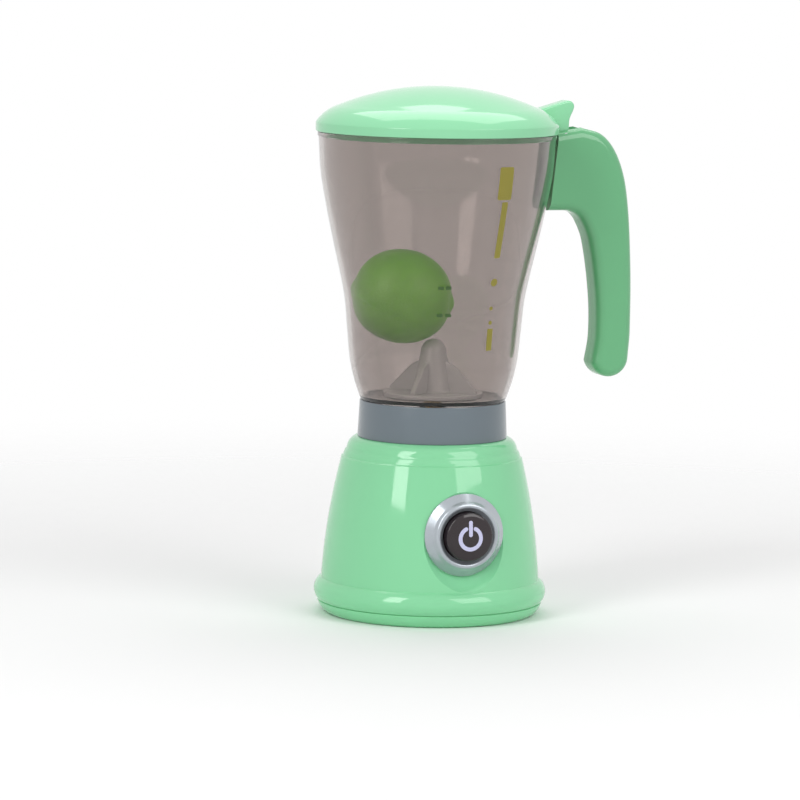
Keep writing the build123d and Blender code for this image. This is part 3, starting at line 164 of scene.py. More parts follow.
def block(x0, x1, y0, y1, z0, z1):
    """A bmesh box between millimetre limits."""
    bm = bmesh.new()
    size = Matrix.Diagonal(((x1 - x0) * mm, (y1 - y0) * mm, (z1 - z0) * mm, 1))
    middle = Vector((x0 + x1, y0 + y1, z0 + z1)) * mm / 2
    bmesh.ops.create_cube(bm, size=1, matrix=Matrix.Translation(middle) @ size)
    return bm


def spun(bm, angle, axis="Z"):
    """The bmesh turned by an angle in degrees about an axis through the origin."""
    bmesh.ops.transform(bm, matrix=Matrix.Rotation(radians(angle), 4, axis), verts=bm.verts)
    return bm


def on_button_axis(bm):
    """The bmesh with its Z axis laid along the button's, which points out along -Y."""
    place = Matrix.Translation((0, 0, button_z * mm)) @ Matrix.Rotation(pi / 2, 4, "X")
    bmesh.ops.transform(bm, matrix=place, verts=bm.verts)
    return bm


def blank_finish(name):
    """A new material, with its node tree and its main shader."""
    material = bpy.data.materials.new(name)
    material.use_nodes = True
    return material, material.node_tree, material.node_tree.nodes["Principled BSDF"]


def noise_of(tree, per_metre, detail=2.0, stretch=(1, 1, 1)):
    """A noise on Object coordinates, from 0 to 1, with that many features in a metre."""
    place = tree.nodes.new("ShaderNodeTexCoord")
    mapping = tree.nodes.new("ShaderNodeMapping")
    mapping.inputs["Scale"].default_value = stretch
    texture = tree.nodes.new("ShaderNodeTexNoise")
    texture.inputs["Scale"].default_value = per_metre
    texture.inputs["Detail"].default_value = detail
    tree.links.new(place.outputs["Object"], mapping.inputs["Vector"])
    tree.links.new(mapping.outputs["Vector"], texture.inputs["Vector"])
    return texture.outputs["Fac"]


def toned(tree, pattern, colour, dark, light):
    """The colour times dark where the pattern is 0, and times light where it is 1."""
    tone = tree.nodes.new("ShaderNodeMix")
    tone.data_type = "RGBA"
    tone.inputs["A"].default_value = [c * dark for c in colour[:3]] + [1]
    tone.inputs["B"].default_value = [min(1, c * light) for c in colour[:3]] + [1]
    tree.links.new(pattern, tone.inputs["Factor"])
    return tone.outputs["Result"]


def ranged(tree, pattern, low, high, start=0.0, end=1.0):
    """A number that goes from low to high while the pattern goes from start to end."""
    spread = tree.nodes.new("ShaderNodeMapRange")
    spread.inputs["From Min"].default_value = start
    spread.inputs["From Max"].default_value = end
    spread.inputs["To Min"].default_value = low
    spread.inputs["To Max"].default_value = high
    tree.links.new(pattern, spread.inputs["Value"])
    return spread.outputs["Result"]


def raised(tree, pattern, strength, depth, over=None):
    """A skin that the pattern raises by up to depth millimetres, over another skin if given."""
    bump = tree.nodes.new("ShaderNodeBump")
    bump.inputs["Strength"].default_value = strength
    bump.inputs["Distance"].default_value = depth * mm
    tree.links.new(pattern, bump.inputs["Height"])
    if over:
        tree.links.new(over, bump.inputs["Normal"])
    return bump.outputs["Normal"]


def plastic(name, colour, roughness, cloud=0.04, peel=0.03, grain=0.0):
    """Moulded plastic: a faint flow cloud in the colour, an uneven gloss, a skin that waves
    slightly, and with grain the fine spark-eroded texture of a satin part."""
    material, tree, skin = blank_finish(name)
    skin.inputs["IOR"].default_value = 1.53
    flow = noise_of(tree, 28, 3.0, (1, 1, 0.45))
    tint = toned(tree, flow, colour, 1 - cloud, 1 + cloud)
    tree.links.new(tint, skin.inputs["Base Color"])
    smears = noise_of(tree, 90, 4.0)
    gloss = ranged(tree, smears, roughness * 0.85, roughness * 1.35 + 0.01, 0.35, 0.75)
    tree.links.new(gloss, skin.inputs["Roughness"])
    relief = raised(tree, noise_of(tree, 130, 1.0), peel, 0.4)
    if grain:
        relief = raised(tree, noise_of(tree, 2600, 2.0), grain, 0.05, over=relief)
    tree.links.new(relief, skin.inputs["Normal"])
    return material


def dressed(piece, material, body, slot, *nodes):
    """Gives a piece its finish and its body, and lets it stand for its CAD nodes."""
    piece.data.materials.clear()
    piece.data.materials.append(material)
    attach(piece, body)
    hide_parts(*nodes)
    return piece


def bell(sink=0.0):
    """The outside of the housing from the seam to the deck, or a line that lies sink inside it."""
    line = [*arc((seam_r, seam_z), (flange_r, flange_z), (crease_r, crease_z), 18),
            *arc((crease_r, crease_z), (bell_mid_r, bell_mid_z), (bell_top_r, bell_top_z), 30)[1:],
            *rounded([(bell_top_r, bell_top_z), (bell_top_r - 0.75, bell_top_z + 0.5, 0.4),
                      (bell_top_r - 0.95, bell_top_z + 1.5, 0.4),
                      (bead_r + 0.75, bead_z - 0.9, 0.5), (bead_r, bead_z)])[1:],
            *arc((bead_r, bead_z), (shoulder_r, shoulder_z), (deck_r, deck_z), 10)[1:]]
    return [(radius - sink, height) for radius, height in line]


mint_abs = plastic("mint_abs", mint, 0.06, peel=0.02)
inside_line = [(radius - shell_wall, height - 0.4 * shell_wall)
               for radius, height in reversed(bell()) if height > crease_z]
base_housing = made("base_housing_shell", turned([
    *bell(),
    *rounded([(deck_r, deck_z), (spigot_r, deck_z, 0.5), (spigot_r, spigot_top_z, 0.7),
              (bush_hole_r, spigot_top_z, 0.3), (bush_hole_r, spigot_top_z - shell_wall),
              (spigot_r - shell_wall, spigot_top_z - shell_wall)])[1:],
    (spigot_r - shell_wall, deck_z - shell_wall),
    *inside_line,
    (seam_r - shell_wall, crease_z - 2.4), (seam_r - shell_wall, seam_z)]))
# The wall behind the dish is as thick as the rest, so it stands in from the shell round the button
seat_r, seat_y, seat_depth = dish_r + shell_wall / 2, dish_y - shell_wall, 14
seat = made("seat", turned([(0, 0), *bell(dish_skin), (0, deck_z)]))
carved(seat, on_button_axis(turned([(0, seat_y), (seat_r, seat_y),
                                    (seat_r + seat_depth, seat_y + seat_depth),
                                    (0, seat_y + seat_depth)])), "INTERSECT")
seat_bm = bmesh.new()
seat_bm.from_mesh(seat.data)
bpy.data.objects.remove(seat)
carved(base_housing, seat_bm, "UNION")
carved(base_housing, on_button_axis(turned([
    (0, dish_y - 9), (tube_hole_r, dish_y - 9), (tube_hole_r, dish_y), (dish_r, dish_y),
    (dish_r + 10, dish_y + 10), (0, dish_y + 10)], steps=256)))
for key in range(key_slots):
    slot = block(spigot_r - key_slot_d, spigot_r + 3, -key_slot_w / 2, key_slot_w / 2,
                 deck_z + 0.02, spigot_top_z + 1)
    carved(base_housing, spun(slot, key_turn + 360 / key_slots * key))
dressed(base_housing, mint_abs, "base", "mint_shell", "base_housing")

# ---- Bottom cover -----------------------------------------------------------------------------
# The dish that closes the base, in the same mint ABS. It stands on its rim, holds the battery
# box, and four screws in deep sleeves pull it up into the housing.
foot_r, foot_w, foot_h = 46.8, 3.2, 1.2
floor_t = 2.0
lip_r, lip_h, lip_t = 48.35, 2.0, 1.8
box_l, box_w, box_top_z, box_wall = 56.7, 30.9, 18.8, 1.8
door_tab_l, door_tab_w = 8.0, 9.0
cover_screw_pcr, cover_screws_n = 39.6, 4
sleeve_r, sleeve_top_z = 4.0, 8.4
counterbore_r, counterbore_h, screw_hole_r = 2.75, 3.2, 1.45


def rod(x, y, z0, z1, radius, sides=48):
    """A bmesh of an upright round bar between two heights."""
    bm = bmesh.new()
    middle = Matrix.Translation(Vector((x, y, (z0 + z1) / 2)) * mm)
    bmesh.ops.create_cone(bm, cap_ends=True, segments=sides, radius1=radius * mm,
                          radius2=radius * mm, depth=(z1 - z0) * mm, matrix=middle)
    return bm


floor_z = foot_h + floor_t
bottom_cover = made("bottom_cover_dish", turned([
    (0, foot_h),
    *rounded([(foot_r - foot_w, foot_h, 0.5), (foot_r - foot_w, 0, 0.5), (foot_r - 0.6, 0)]),
    *arc((foot_r, 0.25), (seam_r - 1.0, seam_z / 2), (seam_r, seam_z - 0.5), 14),
    (seam_r - 0.7, seam_z - 0.1), (seam_r - 1.0, seam_z), (lip_r, seam_z),
    (lip_r, seam_z + lip_h), (lip_r - lip_t, seam_z + lip_h), (lip_r - lip_t, floor_z),
    (0, floor_z)]))
carved(bottom_cover, block(-box_l / 2 - box_wall, box_l / 2 + box_wall, -box_w / 2 - box_wall,
                           box_w / 2 + box_wall, floor_z - 0.5, box_top_z + box_wall), "UNION")
for corner in range(cover_screws_n):
    angle = radians(45 + 360 / cover_screws_n * corner)
    x, y = cover_screw_pcr * cos(angle), cover_screw_pcr * sin(angle)
    carved(bottom_cover, rod(x, y, foot_h + 0.5, sleeve_top_z, sleeve_r), "UNION")
    carved(bottom_cover, rod(x, y, -1, foot_h + counterbore_h, counterbore_r))
    carved(bottom_cover, rod(x, y, -1, sleeve_top_z + 1, screw_hole_r, 24))
carved(bottom_cover, block(-box_l / 2, box_l / 2, -box_w / 2, box_w / 2, -1, box_top_z))
carved(bottom_cover, block(-box_l / 2 - door_tab_l, -box_l / 2 + 1, -door_tab_w / 2,
                           door_tab_w / 2, -1, floor_z - 0.01))
dressed(bottom_cover, mint_abs, "base", "mint_shell", "bottom_cover")

# ---- Battery door -----------------------------------------------------------------------------
# A flat moulded door in the same mint ABS. Two tongues and one screw hold it in the bottom
# cover, and ribs give a thumb some grip.
door_gap = 0.25
door_low_z, door_t = 1.2, 1.8
tongue_w, tongue_root, tongue_reach, tongue_t = 6.0, 1.8, 2.5, 1.3
rib_count, rib_pitch, rib_w, rib_l, rib_h = 5, 2.6, 1.0, 14.0, 0.45


def chamfered(bm, width, segments=2):
    """The bmesh with every edge rounded off."""
    bmesh.ops.bevel(bm, geom=bm.edges, offset=width * mm, affect="EDGES", segments=segments,
                    profile=0.5, material=-1)
    return bm


battery_door = made("battery_door_plate", chamfered(block(
    -box_l / 2 + door_gap, box_l / 2 - door_gap, -box_w / 2 + door_gap, box_w / 2 - door_gap,
    door_low_z, door_low_z + door_t), 0.3))
carved(battery_door, chamfered(block(
    -box_l / 2 - door_tab_l + door_gap, -box_l / 2 + 1, -door_tab_w / 2 + door_gap,
    door_tab_w / 2 - door_gap, door_low_z + 0.01, door_low_z + door_t - 0.01), 0.25), "UNION")
for side in (-1, 1):
    middle_y = side * box_w / 4
    carved(battery_door, block(box_l / 2 - tongue_root, box_l / 2 + tongue_reach,
                               middle_y - tongue_w / 2, middle_y + tongue_w / 2,
                               door_low_z + door_t - 0.4, door_low_z + door_t + tongue_t), "UNION")
for rib in range(rib_count):
    rib_x = -box_l / 2 + rib_l / 2 - rib_w / 2 + rib * rib_pitch
    carved(battery_door, chamfered(block(rib_x, rib_x + rib_w, -rib_l / 2, rib_l / 2,
                                         door_low_z - rib_h, door_low_z + 0.5), 0.2), "UNION")
dressed(battery_door, mint_abs, "base", "mint_shell", "battery_door")

# ---- Cells and their contacts -----------------------------------------------------------------
# Two AA cells in dark shrink-wrapped jackets lie side by side in the box, between plates and
# cone springs of nickel-plated steel.


def metal(name, colour, roughness, stretch=(1, 1, 1), per_metre=900):
    """Bare or plated metal: a slightly mottled tone, with fine lines if stretch pulls it out."""
    material, tree, skin = blank_finish(name)
    skin.inputs["Metallic"].default_value = 1.0
    lines = noise_of(tree, per_metre, 3.0, stretch)
    tree.links.new(toned(tree, lines, colour, 0.88, 1.08), skin.inputs["Base Color"])
    polish = ranged(tree, lines, roughness * 0.7, roughness * 1.4)
    tree.links.new(polish, skin.inputs["Roughness"])
    tree.links.new(raised(tree, lines, 0.12, 0.02), skin.inputs["Normal"])
    return material


def finished(material, *nodes):
    """Puts a finish on CAD nodes that are shown as they are."""
    for node in nodes:
        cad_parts[node].material_slots[0].material = material


cell_jacket = plastic("cell_jacket", (0.03, 0.035, 0.05, 1), 0.22, cloud=0.25)
finished(cell_jacket, "battery_cells")
nickel = metal("nickel", (0.72, 0.70, 0.66, 1), 0.28)
finished(nickel, "contact_plates", "contact_springs")

# ---- Screws -----------------------------------------------------------------------------------
# Zinc-plated self-tapping screws: four in the bottom cover, one in the battery door, two on the
# switch board, three through the gear frame and three in the handle.
zinc = metal("zinc_plate", (0.60, 0.61, 0.63, 1), 0.32)
finished(zinc, "cover_screws", "battery_door_screw", "board_screws", "frame_screws",
         "handle_screws")

# ---- Button bezel -----------------------------------------------------------------------------
# A moulded ring in silver-lacquered ABS. Its cone lies in the dish of the housing, a rounded lip
# stands up round the button, and its tube goes through the wall.
bezel_r, bezel_edge_y = 18.45, 43.75
bezel_lip_r, bezel_lip_y = 14.0, 48.6
bezel_bore_r, bezel_tube_r, bezel_wall = 11.0, 13.5, 1.0
bezel_back_y, bezel_shoulder_y = 39.2, 45.0
silver = (0.43, 0.47, 0.51, 1)

silver_lacquer, tree, lacquer = blank_finish("silver_lacquer")
lacquer.inputs["Metallic"].default_value = 0.45
lacquer.inputs["Coat Weight"].default_value = 0.4
lacquer.inputs["Coat Roughness"].default_value = 0.05
flakes = noise_of(tree, 3500, 2.0)
tree.links.new(toned(tree, flakes, silver, 0.9, 1.1), lacquer.inputs["Base Color"])
tree.links.new(ranged(tree, flakes, 0.16, 0.24), lacquer.inputs["Roughness"])

lip_outside = (bezel_lip_r + 0.75, bezel_lip_y - 0.75)
lip_inside = (bezel_lip_r - 1.75, bezel_lip_y - 0.7)
button_bezel = made("button_bezel_ring", on_button_axis(turned([
    *rounded([(bezel_tube_r, bezel_back_y), (bezel_tube_r, dish_y), (bezel_r, dish_y, 0.15),
              (bezel_r, bezel_edge_y, 0.3), (bezel_lip_r + 1.5, bezel_lip_y - 1.9, 0.7),
              (bezel_lip_r + 0.75, bezel_lip_y - 0.6)], 10)[:-1],
    *arc(lip_outside, (bezel_lip_r - 0.25, bezel_lip_y), lip_inside, 14),
    *rounded([lip_inside, (bezel_bore_r + 0.15, bezel_lip_y - 1.6, 0.3),
              (bezel_bore_r, bezel_lip_y - 2.3), (bezel_bore_r, bezel_shoulder_y),
              (bezel_tube_r - bezel_wall, bezel_shoulder_y),
              (bezel_tube_r - bezel_wall, bezel_back_y)], 10)[1:]], steps=256)))
dressed(button_bezel, silver_lacquer, "base", "silver_ring", "button_bezel")

# ---- Power button -----------------------------------------------------------------------------
# A deep cap in piano black ABS with a slightly domed face. It slides in the ring against a
# spring, and the sign of the power switch is pad printed on it in pale lilac ink.
cap_r, cap_edge_y, cap_face_y = 10.75, 51.2, 52.4
face_edge_r, face_edge_y = 9.95, 51.6
cap_back_y, cap_flange_r, cap_wall = 43.5, 12.25, 1.6
stem_r, stem_end_y = 1.8, 42.2
ink_t, ink_sink = 0.06, 0.01
sign_ring_r, sign_stroke, sign_gap, sign_drop = 4.8, 1.75, 27.0, 0.4
sign_bar_low, sign_bar_l = 1.6, 5.5

piano_black = plastic("piano_black", (0.017, 0.009, 0.012, 1), 0.06, cloud=0.2, peel=0.015)
cap_dome = arc((-face_edge_r, face_edge_y), (0, cap_face_y), (face_edge_r, face_edge_y), 24)
power_button = made("power_button_cap", on_button_axis(turned([
    (0, cap_face_y), *cap_dome[13:],
    *rounded([cap_dome[-1], (cap_r, cap_edge_y - 0.1, 0.7), (cap_r, bezel_shoulder_y, 0.1),
              (cap_flange_r, bezel_shoulder_y), (cap_flange_r, cap_back_y),
              (cap_r - cap_wall, cap_back_y)], 10)[1:],
    (cap_r - cap_wall, cap_edge_y - cap_wall), (stem_r, cap_edge_y - cap_wall),
    (stem_r, stem_end_y), (0, stem_end_y)])))
dressed(power_button, piano_black, "power_button", "black_button", "power_button")

face_rise = cap_face_y - face_edge_y
face_curve_r = (face_edge_r ** 2 + face_rise ** 2) / (2 * face_rise)


def evenly(start, end, steps):
    """Numbers in even steps, with both ends."""
    return [start + (end - start) * step / steps for step in range(steps + 1)]


def pulled(bm, faces, way):
    """Extrudes faces of a bmesh along a way."""
    far = bmesh.ops.extrude_face_region(bm, geom=faces)["geom"]
    bmesh.ops.translate(bm, vec=way, verts=[v for v in far if isinstance(v, bmesh.types.BMVert)])


def stroke(path, width, end_steps=8):
    """The outline of a pen stroke of that width along a path, with round ends."""
    points = [Vector(point) for point in path]
    outs = []
    for index in range(len(points)):
        along = points[min(index + 1, len(points) - 1)] - points[max(index - 1, 0)]
        outs.append(Vector((-along.y, along.x)).normalized() * width / 2)

    def round_end(point, out):
        return [point + Matrix.Rotation(-pi * step / end_steps, 2) @ out
                for step in range(1, end_steps)]

    left = [point + out for point, out in zip(points, outs)]
    right = [point - out for point, out in zip(points, outs)]
    return [*left, *round_end(points[-1], outs[-1]), *reversed(right),
            *round_end(points[0], -outs[0])]


sign_bm = bmesh.new()
gap = radians(sign_gap)
ring_path = [(sign_ring_r * sin(turn), sign_ring_r * cos(turn) - sign_drop)
             for turn in evenly(gap, 2 * pi - gap, 60)]
bar_path = [(0, up - sign_drop) for up in evenly(sign_bar_low, sign_bar_low + sign_bar_l, 12)]
for path in (ring_path, bar_path):
    face = sign_bm.faces.new([sign_bm.verts.new((point.x * mm, point.y * mm, 0))
                              for point in stroke(path, sign_stroke)])
    pulled(sign_bm, [face], (0, 0, ink_t * mm))
for vert in sign_bm.verts:
    radius_squared = (vert.co.x ** 2 + vert.co.y ** 2) / mm ** 2
    vert.co.z += (cap_face_y - face_curve_r + sqrt(face_curve_r ** 2 - radius_squared)
                  - ink_sink) * mm
bmesh.ops.triangulate(sign_bm, faces=sign_bm.faces)
bmesh.ops.recalc_face_normals(sign_bm, faces=sign_bm.faces)
power_sign = made("power_sign_print", on_button_axis(sign_bm))
lilac_ink = plastic("lilac_ink", (0.60, 0.60, 0.83, 1), 0.35, cloud=0.06, grain=0.1)
power_sign.data.materials.append(lilac_ink)
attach(power_sign, "power_button")

# ---- Switch and button spring -----------------------------------------------------------------
# A push switch soldered to a small glass-fibre board that two screws hold behind the button, and
# a wide coil spring of bright wire. It stands on the board and lifts the button, so a press
# closes its turns.
spring_wire, spring_turns, turn_steps = 0.7, 3, 36

board_green = plastic("board_green", (0.02, 0.13, 0.05, 1), 0.3, cloud=0.35)
finished(board_green, "switch_board")
black_nylon = plastic("black_nylon", (0.022, 0.022, 0.024, 1), 0.42, grain=0.25)
finished(black_nylon, "push_switch", "switch_plunger", "drive_dog", "driven_dog")
bright_steel = metal("bright_steel", (0.66, 0.67, 0.69, 1), 0.16, (1, 1, 0.04), 1500)
finished(bright_steel, "motor_shaft", "idler_axle", "output_shaft", "stirrer_shaft",
         "lid_hinge_pin")

spring_front, spring_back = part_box("button_spring")
spring_l = spring_back.y - spring_front.y
spring_r = (spring_back.x - spring_front.x - spring_wire * mm) / 2
coil = bmesh.new()
wire_end = (Matrix.Translation((spring_r, 0, spring_wire / 2 * mm - spring_back.y))
            @ Matrix.Rotation(pi / 2, 4, "X"))
bmesh.ops.create_circle(coil, segments=10, radius=spring_wire / 2 * mm, matrix=wire_end)
bmesh.ops.spin(coil, geom=coil.verts[:] + coil.edges[:], cent=(0, 0, 0), axis=(0, 0, 1),
               dvec=(0, 0, (spring_l - spring_wire * mm) / (spring_turns * turn_steps)),
               angle=2 * pi * spring_turns, steps=spring_turns * turn_steps, use_merge=False)
bmesh.ops.holes_fill(coil, edges=[edge for edge in coil.edges if edge.is_boundary])
bmesh.ops.recalc_face_normals(coil, faces=coil.faces)
button_spring = made("button_spring_coil", on_button_axis(coil))
dressed(button_spring, bright_steel, "power_button", "steel_pin", "button_spring")
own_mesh(button_spring)

# ---- Motor and gears --------------------------------------------------------------------------
# A small can motor held under the gear frame, a brass pinion, and natural white acetal wheels
# that gear it down to the output shaft in its bronze bush.
acetal = plastic("acetal", (0.80, 0.79, 0.75, 1), 0.36, cloud=0.03, grain=0.1)
finished(acetal, "gear_frame", "gear_cover", "idler_gear", "output_gear")
motor_can = metal("motor_can", (0.55, 0.56, 0.58, 1), 0.30, (1, 1, 0.15))
finished(motor_can, "motor")
brass = metal("brass", (0.78, 0.57, 0.24, 1), 0.25)
finished(brass, "motor_pinion", "output_bush", "stirrer_bush")

# ---- Jug collar -------------------------------------------------------------------------------
# A tapered ring in grey satin ABS, glued round the jug's neck. Its skirt drops over the spigot
# of the base, and three keys inside it stop the jug from turning.
collar_bottom_r, collar_top_r, collar_top_z = 33.7, 32.9, 96.4
neck_hole_r, skirt_r = 31.02, 30.6
web_z, web_t, web_r = 88.5, 1.5, 24.0
key_w, key_top_z = 4.5, 85.2

grey_abs = plastic("grey_abs", (0.150, 0.185, 0.212, 1), 0.17, cloud=0.02, peel=0.015)
jug_collar = made("jug_collar_ring", turned(rounded([
    (collar_bottom_r, deck_z + 0.05, 0.3), (collar_top_r, collar_top_z, 0.45),
    (neck_hole_r, collar_top_z, 0.2), (neck_hole_r, web_z + web_t), (web_r, web_z + web_t),
    (web_r, web_z, 0.4), (skirt_r, web_z), (skirt_r, deck_z + 0.05, 0.2)])))
for key in range(key_slots):
    rib = block(skirt_r - 1.2, skirt_r + 0.5, -key_w / 2, key_w / 2, deck_z + 1, key_top_z)
    carved(jug_collar, spun(rib, key_turn + 360 / key_slots * key), "UNION")
dressed(jug_collar, grey_abs, "jug", "grey_collar", "jug_collar")

# ---- Jug --------------------------------------------------------------------------------------
# A flared vessel moulded in clear, faintly smoked polystyrene, with a floor, a neck that is
# glued into the collar, a thick rim, and a rail on one side that the handle is hooked on.
jug_wall = 2.0
jug_side = ((32.4, 96.6), (33.3, 98.4), (35.7, 105.5), (37.7, 114.5), (39.15, 128.5),
            (40.4, 141.6), (42.1, 150.7), (46.2, 168.7), (50.0, 186.7), (52.2, 200.1),
            (53.0, 212.0), (53.2, 214.6))
jug_rim_r, jug_rim_z, jug_rim_low_z = 53.6, 216.9, 214.7
jug_floor_z, jug_floor_t, neck_r, neck_low_z = 98.2, 2.0, 31.0, 90.0
rail_z0, rail_z1, rail_neck_t, rail_head_w, rail_head_t = 187.0, 205.5, 3.0, 8.0, 2.0
block_foot_x, block_foot_z, block_top_x, block_top_z = 51.8, 181.6, 55.6, 217.4
rail_root_low_x, rail_root_high_x, rail_gap = 50.2, 51.4, 2.7
smoke = (0.52, 0.475, 0.455, 1)


def flowing(points, steps=6):
    """A smooth line through the points, with both ends."""
    line = []
    knots = [Vector(point) for point in points]
    for index in range(len(knots) - 1):
        start, end = knots[index], knots[index + 1]
        leave = end - knots[max(index - 1, 0)]
        arrive = knots[min(index + 2, len(knots) - 1)] - start
        reach = (end - start).length
        leave = leave.normalized() * reach
        arrive = arrive.normalized() * reach
        for step in range(steps):
            t = step / steps
            line.append(start * (2 * t ** 3 - 3 * t ** 2 + 1) + leave * (t ** 3 - 2 * t ** 2 + t)
                        + end * (3 * t ** 2 - 2 * t ** 3) + arrive * (t ** 3 - t ** 2))
    line.append(knots[-1])
    return [(point.x, point.y) for point in line]


def block_x(height):
    """Where the flat inner side of the handle's block stands at a height."""
    slope = (block_top_x - block_foot_x) / (block_top_z - block_foot_z)
    return block_foot_x + slope * (height - block_foot_z)


def plate(corners, y0, y1):
    """A bmesh of an outline in the XZ plane, in millimetres, from y0 to y1."""
    bm = bmesh.new()
    face = bm.faces.new([bm.verts.new((x * mm, y0 * mm, z * mm)) for x, z in corners])
    pulled(bm, [face], (0, (y1 - y0) * mm, 0))
    bmesh.ops.recalc_face_normals(bm, faces=bm.faces)
    return bm


jug_outside = flowing(jug_side)
jug_inside = [(radius - jug_wall, height) for radius, height in jug_outside
              if height > jug_floor_z + 1.5]
jug = made("jug_vessel", turned([
    *jug_outside,
    *rounded([(jug_rim_r, jug_rim_low_z + 0.1, 0.25), (jug_rim_r, jug_rim_z - 0.05, 0.5),
              (jug_rim_r - jug_wall - 0.4, jug_rim_z - 0.05, 0.5), jug_inside[-1]])[:-1],
    *reversed(jug_inside),
    (jug_inside[0][0] - 0.5, jug_floor_z + 0.6), (jug_inside[0][0] - 1.2, jug_floor_z + 0.1),
    (jug_inside[0][0] - 2.2, jug_floor_z),
    (bush_hole_r, jug_floor_z), (bush_hole_r, jug_floor_z - jug_floor_t),
    (neck_r - jug_wall, jug_floor_z - jug_floor_t), (neck_r - jug_wall, neck_low_z),
    (neck_r, neck_low_z), (neck_r, jug_side[0][1])]))
rail_low_x, rail_high_x = block_x(rail_z0) + rail_gap, block_x(rail_z1) + rail_gap
carved(jug, plate([(rail_root_low_x, rail_z0), (rail_low_x + 0.5, rail_z0),
                   (rail_high_x + 0.5, rail_z1), (rail_root_high_x, rail_z1)],
                  -rail_neck_t / 2, rail_neck_t / 2), "UNION")
carved(jug, plate([(rail_low_x, rail_z0), (rail_low_x + rail_head_t, rail_z0),
                   (rail_high_x + rail_head_t, rail_z1), (rail_high_x, rail_z1)],
                  -rail_head_w / 2, rail_head_w / 2), "UNION")

smoked_clear, tree, glass = blank_finish("smoked_clear")
glass.inputs["Base Color"].default_value = smoke
glass.inputs["Transmission Weight"].default_value = 1.0
glass.inputs["IOR"].default_value = 1.50
wipes = noise_of(tree, 40, 4.0)
tree.links.new(ranged(tree, wipes, 0.015, 0.07, 0.45, 0.8), glass.inputs["Roughness"])
melt = noise_of(tree, 45, 1.0, (1, 1, 0.3))
tree.links.new(raised(tree, melt, 0.04, 0.5), glass.inputs["Normal"])
# Lamps shine straight through the wall
clear = tree.nodes.new("ShaderNodeBsdfTransparent")
clear.inputs["Color"].default_value = [sqrt(c) for c in smoke[:3]] + [1]
ray = tree.nodes.new("ShaderNodeLightPath")
lamp_or_eye = tree.nodes.new("ShaderNodeMixShader")
tree.links.new(ray.outputs["Is Shadow Ray"], lamp_or_eye.inputs["Fac"])
tree.links.new(glass.outputs["BSDF"], lamp_or_eye.inputs[1])
tree.links.new(clear.outputs["BSDF"], lamp_or_eye.inputs[2])
tree.links.new(lamp_or_eye.outputs["Shader"], tree.nodes["Material Output"].inputs["Surface"])
dressed(jug, smoked_clear, "jug", "clear_jug", "jug")

# ---- Printed scale ----------------------------------------------------------------------------
# Filling marks, screen printed on the outside of the jug in olive and leaf green ink: a column
# of bars and dots beside the handle, and pairs of short ticks on the front.
scale_angle, scale_mid_z, scale_lean = 18.5, 140.0, 0.04
scale_bars = ((197.0, 7.4, 14.6), (176.2, 3.1, 25.0), (127.0, 3.0, 9.8))
scale_dots = ((152.7, 3.5), (141.0, 1.8), (134.6, 1.8))
tick_marks = ((-16.2, 150.6), (-11.6, 150.6), (-16.6, 138.3), (-11.2, 138.3))
tick_w, tick_h = 2.6, 1.5
ink_lift, jug_ink_t = 0.03, 0.05


def jug_radius(height):
    """Radius of the outside of the jug at a height."""
    for (r0, z0), (r1, z1) in zip(jug_outside, jug_outside[1:]):
        if z0 <= height <= z1:
            return r0 + (r1 - r0) * (height - z0) / (z1 - z0)


def print_mark(bm, angle, height, width, tall, disc=False):
    """A printed bar with rounded corners, or a disc, wrapped on the jug at an angle."""
    flat = bmesh.new()
    bmesh.ops.create_grid(flat, x_segments=6, y_segments=12, size=0.5,
                          matrix=Matrix.Diagonal((width, tall, 1, 1)))
    if disc:
        for vert in flat.verts:
            x, y = vert.co.x * 2 / width, vert.co.y * 2 / tall
            vert.co.x = x * sqrt(1 - y * y / 2) * width / 2
            vert.co.y = y * sqrt(1 - x * x / 2) * tall / 2
    else:
        corners = [v for v in flat.verts if len(v.link_edges) == 2]
        bmesh.ops.bevel(flat, geom=corners, offset=min(width, tall) * 0.12, affect="VERTICES",
                        segments=3, profile=0.5, material=-1)
    pulled(flat, flat.faces, (0, 0, jug_ink_t))
    for vert in flat.verts:
        across, up, out = vert.co
        radius = jug_radius(height + up) + ink_lift + out
        turn = radians(angle) + across / radius
        vert.co = Vector((radius * sin(turn), -radius * cos(turn), height + up)) * mm
    bmesh.ops.recalc_face_normals(flat, faces=flat.faces)
    patch = bpy.data.meshes.new("patch")
    flat.to_mesh(patch)
    flat.free()
    bm.from_mesh(patch)
    bpy.data.meshes.remove(patch)


scale_bm = bmesh.new()
marks = [(*bar, False) for bar in scale_bars]
marks += [(height, dot, dot, True) for height, dot in scale_dots]
for height, width, tall, disc in marks:
    angle = scale_angle - (height - scale_mid_z) * scale_lean
    print_mark(scale_bm, angle, height, width, tall, disc)
olive_ink = plastic("olive_ink", (0.27, 0.235, 0.025, 1), 0.4, cloud=0.12, grain=0.1)
jug_scale = made("jug_scale_print", scale_bm)
jug_scale.data.materials.append(olive_ink)
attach(jug_scale, "jug")
tick_bm = bmesh.new()
for angle, height in tick_marks:
    print_mark(tick_bm, angle, height, tick_w, tick_h)
leaf_ink = plastic("leaf_ink", (0.03, 0.085, 0.012, 1), 0.4, cloud=0.12, grain=0.1)
jug_ticks = made("jug_tick_print", tick_bm)
jug_ticks.data.materials.append(leaf_ink)
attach(jug_ticks, "jug")

